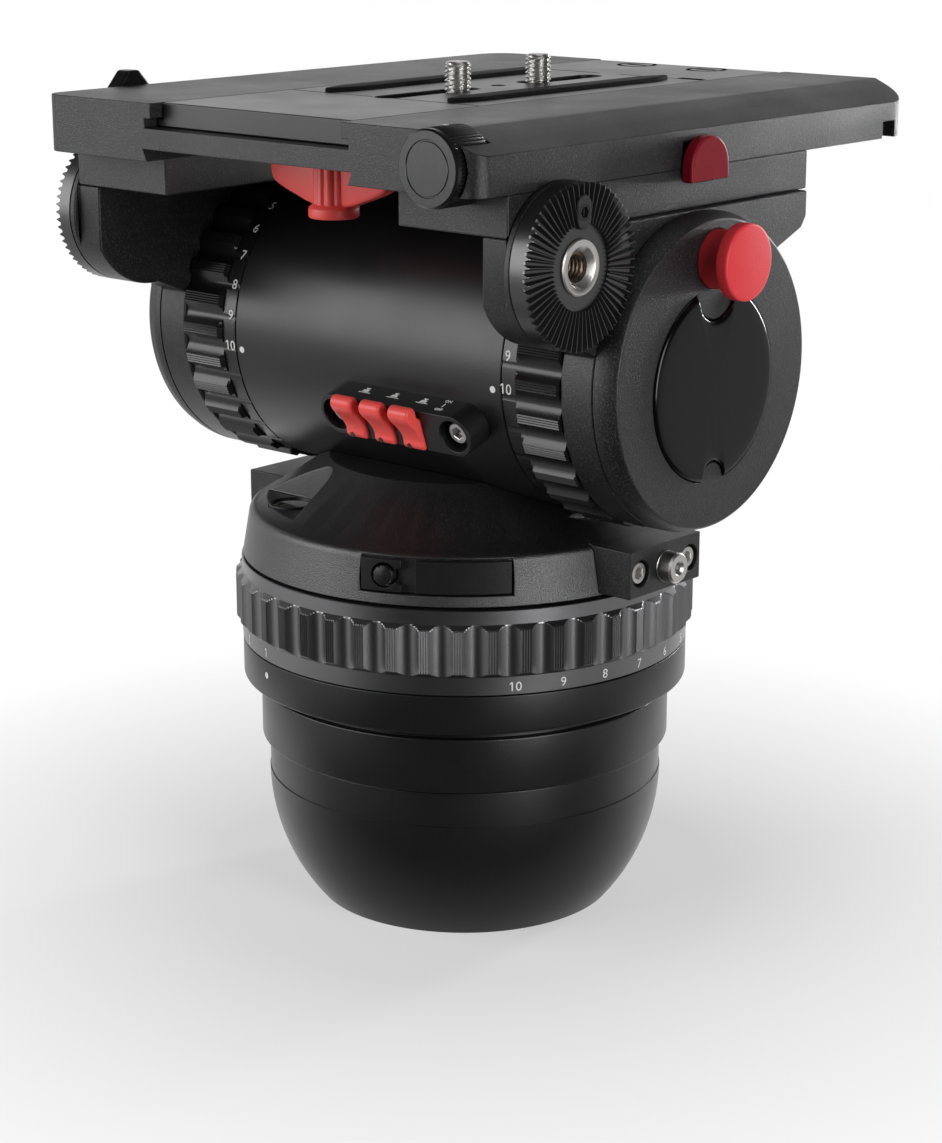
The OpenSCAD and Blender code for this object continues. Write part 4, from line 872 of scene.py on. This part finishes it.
# %% Bare badge disc
BADGE_R, BADGE_Z, NOTCH_AT = 33.5, TILT_Z - 3.5, 33.0
NOTCH_TOP, NOTCH_LOW = 10.8, 6.5
a = turn_steps(720)
across = NOTCH_AT * np.cos(a)
notch = np.where(np.sin(a) > 0, NOTCH_TOP, NOTCH_LOW)
bite = np.abs(np.sin(a)) * NOTCH_AT - np.sqrt(np.maximum(notch ** 2 - across ** 2, 0))
edge = np.where(np.abs(across) < notch, np.minimum(BADGE_R, bite), BADGE_R)
share = np.array([1.0, 1.0, 0.985, 0.96, 0.93, 0.85, 0.6, 0.3, 0.001])[:, None]
rise = np.array([-2.0, -0.2, 0.5, 0.85, 1.0, 1.08, 1.14, 1.18, 1.2])[:, None]
points = np.stack([CAP_OUT + rise + 0 * a, -share * edge * np.cos(a), BADGE_Z + share * edge * np.sin(a)], -1)
new_piece("bare_badge", points, grid_faces(len(share), len(a), False, True), "badge_disc", sharp=60)
print("badge edge, nearest and furthest:", edge.min().round(1), edge.max().round(1), "mm")

# %% [markdown]
# Levers, wing and rubber strips are mouldings: one outline, carried across, with soft edges at both ends.
# They could be sculpted from a box with a subdivision modifier, but then their sizes are hard to hold.
# A closed curve is carried across instead, and its two ends are drawn in along a quarter circle.

# %% Moulding helpers
def moulded(outline, start, end, ease, steps=5):
    """Rows of an outline (out, up) from start to end; near each end it shrinks along its normals.

    The shrinking follows a quarter turn: the inset goes with one minus sine, the step with one minus cosine.
    """
    p = np.asarray(outline, float)
    along = np.roll(p, -1, 0) - np.roll(p, 1, 0)
    area = np.sum(p[:, 0] * np.roll(p[:, 1], -1) - np.roll(p[:, 0], -1) * p[:, 1])
    normal = np.stack([along[:, 1], -along[:, 0]], 1) * np.sign(area)
    normal /= np.linalg.norm(normal, axis=1, keepdims=True)
    t = np.linspace(0, np.pi / 2, steps)
    inset, step = ease * (1 - np.sin(t)), ease * (1 - np.cos(t))
    inset, place = np.r_[inset, inset[::-1]], np.r_[start + step, end - step[::-1]]
    rows = p[None] - normal[None] * inset[:, None, None]
    return rows, np.broadcast_to(place[:, None], rows.shape[:2])


def capped_faces(rows, cols):
    """The sides of a tube of outlines, with one flat face at each end."""
    sides = grid_faces(rows, cols, False, True).tolist()
    return sides + [list(range(cols)), list(range((rows - 1) * cols, rows * cols))]


print("rows of a moulding:", len(moulded([[0, 0], [1, 0], [1, 1], [0, 1]], 0, 1, 0.1)[0]))

# %% [markdown]
# The three spring levers are red, with a hanging tip that a finger can flip, and a small notch on it whose
# shade is painted as a thin black disc.
# One could be built and copied twice. A loop over their places does that and keeps them alike,
# and each gets a name of its own, because each rides on its own body.

# %% Spring levers
LEVER_OUT, LEVER_UP, LEVER_W = LEVER_FACE - 3.6, 1.5, 9.3
LEVER_X = (2.4, 16.0, 29.6)
LEVER_NOTCH_ASIDE, LEVER_NOTCH_OUT, LEVER_NOTCH_UP = 1.6, LEVER_OUT + 5.05, LEVER_UP - 7.4
finger = smooth_loop([[-2.6, 0], [0, 2.9], [3.0, 3.1], [4.2, 4.2], [4.3, 6.6], [5.2, 8.3], [7.0, 8.8],
                      [8.8, 7.8], [9.4, 5.8], [8.7, 3.4], [7.0, 0.6], [5.6, -2.4], [5.0, -5.2], [5.3, -7.2],
                      [4.6, -8.7], [3.0, -8.9], [1.8, -7.6], [1.5, -5.0], [0, -2.9]])
notch_shade, notch_shade_faces = dot_solid(0.95, 0.8)
for k, x in enumerate(LEVER_X, 1):
    rows, place = moulded(finger, x - LEVER_W / 2, x + LEVER_W / 2, 0.9)
    points = on_tube(place, LEVER_OUT + rows[..., 0], LEVER_UP + rows[..., 1])
    new_piece(f"flip_lever_{k}", points, capped_faces(*rows.shape[:2]), f"spring_lever_{k}", sharp=50)
    # Painted shade: a thin black disc where each lever's tip has its dark notch.
    notch_shade_points = on_tube(x - LEVER_NOTCH_ASIDE + notch_shade[:, 0], LEVER_NOTCH_OUT + notch_shade[:, 2], LEVER_NOTCH_UP + notch_shade[:, 1])
    new_piece(f"lever_notch_shade_{k}", notch_shade_points, notch_shade_faces, f"spring_lever_{k}", SCREW_BLACK_AND_NOTCH_SHADE, hides=False)
print("levers:", len(LEVER_X), "of", len(finger), "points round")

# %% [markdown]
# Small white marks on the housing's upper side tell what the levers do: a weight over a line for each spring,
# and the words ON and OFF with a stroke between them. They could be drawn as curves.
# The thin solids of the dials are at hand, and these marks lie flat, so they need no wrapping.

# %% Marks on the lever housing
MARK_SIZE = 0.8


def wrap_box(p, x, out):
    """A mark on the housing's upper side: x along the tube, the mark's own up pointing back to the tube."""
    return on_tube(x + MARK_SIZE * p[:, 0], out - MARK_SIZE * p[:, 1], LEVER_BOX_H / 2 + PRINT_LIFT + p[:, 2])


WEIGHT = [[[-1.9, -0.8], [1.9, -0.8], [1.4, 0.9], [-1.4, 0.9]],
          [[-0.5, 0.9], [0.5, 0.9], [0.5, 1.7], [-0.5, 1.7]],
          [[-1.1, 1.7], [1.1, 1.7], [1.1, 2.3], [-1.1, 2.3]],
          [[-3.4, -1.6], [3.4, -1.6], [3.4, -1.3], [-3.4, -1.3]]]
MARK_OUT, MARK_SHIFT, SWITCH_X = 57.6, 2.2, 41.2
bars = [bar_solid(corners) for corners in WEIGHT]
marks = [(wrap_box(p, x + MARK_SHIFT, MARK_OUT), fs) for x in LEVER_X for p, fs in bars]
for word, out in (("ON", MARK_OUT - 2.6), ("OFF", MARK_OUT + 3.0)):
    p, fs = word_solid(word, 1.7)
    marks.append((wrap_box(p, SWITCH_X, out), fs))
p, fs = bar_solid([[-0.2, -1.3], [0.2, -1.3], [0.2, 1.3], [-0.2, 1.3]])
marks.append((wrap_box(p, SWITCH_X, MARK_OUT + 0.2), fs))
printed("spring_marks", marks, "lever_housing")
print("marks on the housing:", len(marks))

# %% [markdown]
# The wing lever under the platform locks its slide: a fluted column with a flange, and two wings that taper.
# The wings are one moulded blade, as the levers are. Flutes could be cut out of the column one by one.
# Here the column is turned, and a wave round the turn draws its radius in, which makes all twelve at once.

# %% Wing lever
WING_Y, WING_TOP, WING_FOOT, WING_HALF, WING_T = -66.0, 284.5, 261.8, 28.0, 6.0
FLANGE_R, COLUMN_R, PIN_R, PIN_TOP = 8.8, 7.2, 4, WING_TOP + 5
FLUTES, FLUTE_DEEP, FLUTE_TURNS = 12, 0.10, 144
wing_side = smooth_loop([[-28, WING_TOP], [-14, WING_TOP], [0, WING_TOP], [14, WING_TOP], [28, WING_TOP],
                         [28, 279], [27.2, 274], [24.5, 271.6], [16, 268.4], [8, 266], [0, 265.6], [-8, 266],
                         [-16, 268.4], [-24.5, 271.6], [-27.2, 274], [-28, 279]])
rows, place = moulded(wing_side, -WING_T / 2, WING_T / 2, 1.3)
blade = np.stack([PLATE_X + np.clip(rows[..., 0], -WING_HALF, WING_HALF), WING_Y + place,
                  np.minimum(rows[..., 1], WING_TOP)], -1)
blade_faces = capped_faces(*rows.shape[:2])
column = eased([[POLE_R, WING_FOOT], [FLANGE_R, WING_FOOT], [FLANGE_R, WING_FOOT + 3.6],
                [COLUMN_R, WING_FOOT + 4.6], [COLUMN_R - 0.2, WING_TOP], [PIN_R, WING_TOP], [PIN_R, PIN_TOP],
                [POLE_R, PIN_TOP]], [0, 1.0, 0.8, 0.6, 0.4, 0, 0.3, 0])
column_points = turn_points(column, "z", (PLATE_X, WING_Y), FLUTE_TURNS)
ridge = 1 - FLUTE_DEEP * (0.5 - 0.5 * np.cos(FLUTES * turn_steps(FLUTE_TURNS))) ** 2
fluted = (column[:, 0] > COLUMN_R - 0.7) & (column[:, 0] < COLUMN_R + 0.1)
middle = np.array([PLATE_X, WING_Y])
column_points[fluted, :, :2] = middle + (column_points[fluted, :, :2] - middle) * ridge[:, None]
column_faces = grid_faces(len(column), FLUTE_TURNS, True, True) + blade.size // 3
new_piece("wing_grip", np.concatenate([blade.reshape(-1, 3), column_points.reshape(-1, 3)]),
          blade_faces + column_faces.tolist(), "wing_lever", sharp=45)
print("fluted rows of the wing's column:", fluted.sum())

# %% [markdown]
# The thumbwheel is a knurled disc with a flat face and a circle cut into it.
# Its knurls are rolled in on the real head. A bump in the material could show them, but not in the outline.
# So they are a zigzag of the radius round the rim, as with the rings' ribs.

# %% Thumbwheel
WHEEL_X, WHEEL_Z, WHEEL_Y, WHEEL_R = 83.7, 289.2, -111.6, 12.6
WHEEL_BACK, WHEEL_PIN_R, WHEEL_PIN_END, CIRCLE_DEEP = 16.6, 4, 30.0, 0.35
KNURLS = 60
angle = turn_steps(KNURLS * 4)
knurl = np.tile([0.0, 0.28, 0.45, 0.28], KNURLS)
rings = [(POLE_R, 0.0, 0), (8.3, 0.0, 0), (8.5, CIRCLE_DEEP, 0), (8.9, CIRCLE_DEEP, 0), (9.1, 0.0, 0),
         (WHEEL_R - 0.9, 0.0, 0), (WHEEL_R - 0.25, 0.6, 0), (WHEEL_R - 0.2, 2.0, 0), (WHEEL_R, 2.4, 1),
         (WHEEL_R, 16.2, 1), (WHEEL_R - 0.4, WHEEL_BACK, 0.3), (WHEEL_PIN_R, WHEEL_BACK, 0),
         (WHEEL_PIN_R, WHEEL_PIN_END, 0), (POLE_R, WHEEL_PIN_END, 0)]
rows = [np.stack([WHEEL_X + (r - deep * knurl) * np.sin(angle), WHEEL_Y + y + 0 * angle,
                  WHEEL_Z + (r - deep * knurl) * np.cos(angle)], -1) for r, y, deep in rings]
faces = grid_faces(len(rings), len(angle), False, True)
new_piece("knurled_wheel", np.stack(rows), faces, "thumbwheel", sharp=25)
p, fs = dot_solid(1.0)
wheel_dot = p + (WHEEL_X - 1.6, WHEEL_Y + 10.5, WHEEL_Z + WHEEL_R - 0.05)
printed("wheel_dot", [(wheel_dot, fs)], "thumbwheel")
print("knurls on the wheel:", KNURLS)

# %% [markdown]
# Two rubber strips with pointed ends keep the camera from slipping.
# They are stamped from sheet, so they could be flat boxes, but their edges catch the light.
# A lens-shaped outline, raised a little and drawn in at its edges, is all they need.

# %% Rubber strips
PAD_FROM, PAD_TO, PAD_HALF, PAD_W, PAD_H = -39.0, 82.0, 29.0, 9.0, 1.4
POINT_L, POINT_HALF, PAD_SUNK = 9, 1.2, 0.6
strip = eased([[-PAD_W / 2, PAD_FROM + POINT_L], [-POINT_HALF, PAD_FROM], [POINT_HALF, PAD_FROM],
               [PAD_W / 2, PAD_FROM + POINT_L], [PAD_W / 2, PAD_TO - POINT_L], [POINT_HALF, PAD_TO],
               [-POINT_HALF, PAD_TO], [-PAD_W / 2, PAD_TO - POINT_L]], [5, 1, 1, 5, 5, 1, 1, 5])
rows, place = moulded(strip, PLAT_TOP - PAD_SUNK, PLAT_TOP + PAD_H, 0.5)
points, faces, count = [], [], rows.shape[0] * rows.shape[1]
for k, x in enumerate((PLATE_X - PAD_HALF, PLATE_X + PAD_HALF)):
    points.append(np.stack([x + rows[..., 0], rows[..., 1], place], -1).reshape(-1, 3))
    faces += [[i + k * count for i in f] for f in capped_faces(*rows.shape[:2])]
new_piece("grip_strips", np.concatenate(points), faces, "plate_pads", sharp=50)
print("strip length:", PAD_TO - PAD_FROM, "mm")

# %% [markdown]
# The plate's deck has fine lines: two cuts across it, and two round plugs with a coin slot near its far end.
# Real grooves would have to be cut into the plate of the frame, which stays as it is.
# So they are thin strips and rings of painted shade that lie on the deck, a few hundredths of a millimetre
# proud of it. They are black and mirror nothing, as the shade inside a real groove looks.

# %% Lines and plugs on the plate
def ring_solid(inner, outer, thick=0.1, segments=48):
    """A flat ring as a closed grid of four circles."""
    a = turn_steps(segments)
    rows = [(inner, -1), (outer, -1), (outer, 1), (inner, 1)]
    p = np.stack([np.stack([r * np.cos(a), r * np.sin(a), s * thick / 2 + 0 * a], -1) for r, s in rows])
    return p.reshape(-1, 3), grid_faces(4, segments, True, True).tolist()


def oblong(wide, long):
    """A flat bar centred on nought."""
    x, y = wide / 2, long / 2
    return bar_solid([[-x, -y], [x, -y], [x, y], [-x, y]])


def on_deck(solid, x, y):
    """A flat mark laid on the plate's deck."""
    p, fs = solid
    return p + (x, y, PLAT_TOP), fs


CUT_W, CUT_L, CUT_ASIDE, CUT_NEAR_Y, CUT_FAR_Y = 0.5, 39, 24.5, -41.0, 85.0
PLUG_R, PLUG_RIM, PLUG_HALF, PLUG_Y, COIN_SLOT = 8.0, 1.6, 17.0, 124.0, (9.0, 2.4)
WINDOW, WINDOW_X, WINDOW_Y = (11.0, 3.0), 36.0, 87.5
deck = [on_deck(oblong(CUT_L, CUT_W), PLATE_X + s * CUT_ASIDE, y)
        for s in SIDES for y in (CUT_NEAR_Y, CUT_FAR_Y)]
deck += [on_deck(solid, PLATE_X + s * PLUG_HALF, PLUG_Y) for s in SIDES
         for solid in (ring_solid(PLUG_R - PLUG_RIM, PLUG_R), oblong(*COIN_SLOT))]
deck.append(on_deck(oblong(*WINDOW), WINDOW_X, WINDOW_Y))
printed("deck_groove_shade", deck, "camera_plate", GROOVE_SHADE)
print("lines on the deck:", len(deck))

# %% [markdown]
# The bubble level sits in the scooped pocket of the housing: a bezel, and in it a vial of tinted fluid.
# Real fluid and glass would need many light bounces for a spot that is a few pixels wide.
# A slightly domed dark disc with a clear coat looks the same from where it is seen.

# %% Bubble level
VIAL_X, VIAL_Y, VIAL_Z, VIAL_R = -35.7, -54.6, 152.5, 7.2
BEZEL_R, BEZEL_BORE, BEZEL_TOP, LEVEL_FOOT = 8.5, VIAL_R + 0.15, VIAL_Z + 0.6, VIAL_Z - 4
bezel = eased([[BEZEL_BORE, LEVEL_FOOT], [BEZEL_R, LEVEL_FOOT], [BEZEL_R, BEZEL_TOP],
               [BEZEL_BORE, BEZEL_TOP]], [0, 0, 0.3, 0.2])
turned("level_bezel", bezel, "bubble_bezel", centre=(VIAL_X, VIAL_Y), segments=64)
dome_r = np.linspace(VIAL_R, POLE_R, 8)
dome = np.stack([dome_r, VIAL_Z - 0.1 + 0.4 * (1 - (dome_r / VIAL_R) ** 2)], 1)
vial = np.concatenate([[[POLE_R, LEVEL_FOOT], [VIAL_R, LEVEL_FOOT]], dome])
turned("level_vial", vial, "bubble_vial", centre=(VIAL_X, VIAL_Y), segments=64, sharp=60)
print("vial across:", 2 * VIAL_R, "mm")

# %% [markdown]
# The stage is a small pale floor that fades to white. A large white sheet would be simpler,
# but black parts show their shape only by what they mirror, and a sheet would grey all of them.
# So the floor is bright for the camera, and dark on the camera's side for rays that are mirrored.

# %% Shader sums for the stage
CAMERA_TURN = 41.104
TO_CAMERA = (math.sin(math.radians(CAMERA_TURN)), -math.cos(math.radians(CAMERA_TURN)), 0.0)


def sums(tree, operation, first, second):
    """One Math node with two linked inputs."""
    node = tree.nodes.new("ShaderNodeMath")
    node.operation = operation
    tree.links.new(first, node.inputs[0])
    tree.links.new(second, node.inputs[1])
    return node.outputs[0]


def along(tree, vector, direction):
    """Dot product of a vector with a fixed direction."""
    node = tree.nodes.new("ShaderNodeVectorMath")
    node.operation = "DOT_PRODUCT"
    node.inputs[1].default_value = direction
    tree.links.new(vector, node.inputs[0])
    return node.outputs["Value"]


print("towards the camera:", np.round(TO_CAMERA, 3))

# %% [markdown]
# The floor keeps the soft shadow under the head. A shadow catcher could do it, but it needs a second layer.
# A plain disc is enough, as long as its edge can't be seen.

# %% Floor
FLOOR_R, FLOOR_SIDES = 0.32, 96
ring = turn_steps(FLOOR_SIDES)
floor_points = np.stack([FLOOR_R * np.cos(ring), FLOOR_R * np.sin(ring), 0 * ring], 1)
floor_mesh = bpy.data.meshes.new("floor")
floor_mesh.from_pydata(floor_points.tolist(), [], [list(range(FLOOR_SIDES))])
floor = bpy.data.objects.new("floor", floor_mesh)
SCENE.collection.objects.link(floor)
print("floor radius:", FLOOR_R, "m")

# %% [markdown]
# The middle of the floor is matt, so that the shadow falls on it. Towards its edge it turns into plain white,
# and no line shows there. A faded picture could do that, but the distance from the middle needs no picture.

# %% Finish of the floor
FADE_FROM, FADE_SHARE, FADE_LOW = 0.10, 0.97, 0.45
PALE_GREY = (0.82, 0.82, 0.82, 1)
DARK_FROM, DARK_FULL, DARK_LEVEL = -0.02, 0.10, 0.06
pale = bpy.data.materials.new("pale_floor")
pale.use_nodes = True
tree = pale.node_tree
make, link = tree.nodes.new, tree.links.new
tree.nodes.remove(tree.nodes["Principled BSDF"])
matt, glow, blend = make("ShaderNodeBsdfDiffuse"), make("ShaderNodeEmission"), make("ShaderNodeMixShader")
matt.inputs["Color"].default_value = PALE_GREY
seen, place, reach = make("ShaderNodeLightPath"), make("ShaderNodeTexCoord"), make("ShaderNodeVectorMath")
reach.operation = "LENGTH"
link(place.outputs["Object"], reach.inputs[0])
fade = ramp(tree, reach.outputs["Value"], FADE_FROM, FLOOR_R * FADE_SHARE, FADE_LOW, 1.0)
straight = sums(tree, "MAXIMUM", seen.outputs["Is Camera Ray"], seen.outputs["Is Transmission Ray"])
mirrored = seen.outputs["Is Glossy Ray"]
link(sums(tree, "MAXIMUM", sums(tree, "MULTIPLY", straight, fade), mirrored), blend.inputs["Fac"])
depth = along(tree, place.outputs["Object"], TO_CAMERA)
behind = ramp(tree, depth, DARK_FROM, DARK_FULL, 1.0, DARK_LEVEL)
link(sums(tree, "MAXIMUM", straight, behind), glow.inputs["Strength"])
link(matt.outputs[0], blend.inputs[1])
link(glow.outputs[0], blend.inputs[2])
link(blend.outputs[0], tree.nodes["Material Output"].inputs["Surface"])
floor_mesh.materials.append(pale)
print("nodes of the floor's finish:", len(tree.nodes))

# %% [markdown]
# The world is white for the camera, so the head stands before a plain page.
# What the black parts mirror is another matter: a bright field behind the head, a band low at the sides,
# and near darkness behind the camera, which keeps the faces that look at the camera black.
# A studio picture round the scene could do this, but sums of directions can be tuned one by one.

# %% World
STUDIO_DARK, SIDE_LEVEL = 0.03, 0.6
FIELD_FROM, FIELD_FULL, FIELD_TOP, FIELD_HIGH = -0.42, -0.80, 0.62, 0.40
FRONT_NONE, FRONT_ALL, BAND_TOP, BAND_FULL = 0.60, 0.40, 0.05, -0.08
world = bpy.data.worlds.new("studio")
SCENE.world = world
world.use_nodes = True
tree = world.node_tree
make = tree.nodes.new
backdrop = tree.nodes["Background"]
backdrop.inputs["Color"].default_value = (1, 1, 1, 1)
place, lift, seen = make("ShaderNodeTexCoord"), make("ShaderNodeSeparateXYZ"), make("ShaderNodeLightPath")
tree.links.new(place.outputs["Generated"], lift.inputs[0])
to_camera = along(tree, place.outputs["Generated"], TO_CAMERA)
field_back = ramp(tree, to_camera, FIELD_FROM, FIELD_FULL)
field = sums(tree, "MULTIPLY", field_back, ramp(tree, lift.outputs["Z"], FIELD_TOP, FIELD_HIGH))
not_front = ramp(tree, to_camera, FRONT_NONE, FRONT_ALL)
mirrored = sums(tree, "MULTIPLY", not_front, seen.outputs["Is Glossy Ray"])
band = ramp(tree, lift.outputs["Z"], BAND_TOP, BAND_FULL, 0.0, SIDE_LEVEL)
sides = sums(tree, "MULTIPLY", mirrored, band)
level = sums(tree, "MAXIMUM", ramp(tree, field, 0.0, 1.0, STUDIO_DARK, 1.0), sides)
straight = sums(tree, "MAXIMUM", seen.outputs["Is Camera Ray"], seen.outputs["Is Transmission Ray"])
tree.links.new(sums(tree, "MAXIMUM", level, straight), backdrop.inputs["Strength"])
print("nodes of the world:", len(tree.nodes))

# %% [markdown]
# A large soft lamp stands at the left and a narrow tall one at the right, as in a studio.
# A strip behind gives the right edges a rim, and a weak lamp hangs above.
# Point lamps would be easier to place, but they leave small hard spots on satin black.

# %% Lamps
LAMP_AIM_Z = 0.18


def soft_lamp(name, turn, lift, far, wide, tall, power):
    """An area lamp at an angle from -Y towards +X and a lift above level, facing the head's middle."""
    a, e = math.radians(turn), math.radians(lift)
    way = np.array([math.sin(a) * math.cos(e), -math.cos(a) * math.cos(e), math.sin(e)])
    lamp = bpy.data.lights.new(name, "AREA")
    lamp.shape, lamp.size, lamp.size_y, lamp.energy = "RECTANGLE", wide, tall, power
    holder = bpy.data.objects.new(name, lamp)
    holder.location = way * far + np.array([0, 0, LAMP_AIM_Z])
    back = -way
    holder.rotation_euler = (math.acos(-back[2]), 0, math.atan2(back[1], back[0]) - math.pi / 2)
    holder.visible_camera = False
    SCENE.collection.objects.link(holder)


soft_lamp("left_box", CAMERA_TURN - 74, lift=15, far=1.3, wide=1.5, tall=0.75, power=13.5)
soft_lamp("right_box", CAMERA_TURN + 36, lift=8, far=1.3, wide=0.5, tall=0.80, power=10)
soft_lamp("rim_box", CAMERA_TURN + 130, lift=6, far=1.3, wide=0.14, tall=0.40, power=7)
soft_lamp("top_box", CAMERA_TURN + 60, lift=80, far=1.4, wide=0.8, tall=0.8, power=1.5)
print("lamps:", len(bpy.data.lights))

# %% [markdown]
# The camera stands where the photograph's camera stood: a long lens, a metre away, 41 degrees to the right.
# It could be placed by eye. Fitted to round edges of known size, it lets sizes be compared with the picture,
# and the lens shift puts the head at its place in the frame.

# %% Camera
CAMERA_LIFT, FOCAL_PX, FAR, SIDE, AIM_Z = 15.569, 2565.95, 962.107, 6.567, 127.126
IMAGE_W, IMAGE_H, MIDDLE, SENSOR_W = 942, 1143, (482.10, 557.69), 36.0
a, e = math.radians(CAMERA_TURN), math.radians(CAMERA_LIFT)
way = np.array([math.sin(a) * math.cos(e), -math.cos(a) * math.cos(e), math.sin(e)])
right = np.array([math.cos(a), math.sin(a), 0.0])
lens = bpy.data.cameras.new("camera")
lens.sensor_fit, lens.sensor_width, lens.lens = "HORIZONTAL", SENSOR_W, FOCAL_PX / IMAGE_W * SENSOR_W
lens.shift_x, lens.shift_y = (IMAGE_W / 2 - MIDDLE[0]) / IMAGE_W, (MIDDLE[1] - IMAGE_H / 2) / IMAGE_W
lens.clip_start = 0.01
camera = bpy.data.objects.new("camera", lens)
camera.location = (np.array([0, 0, AIM_Z]) + right * SIDE + way * FAR) * MM
camera.rotation_euler = (math.pi / 2 - e, 0, a)
SCENE.collection.objects.link(camera)
SCENE.camera = camera
SCENE.view_settings.view_transform = "Standard"
print("focal length:", round(lens.lens, 1), "mm")
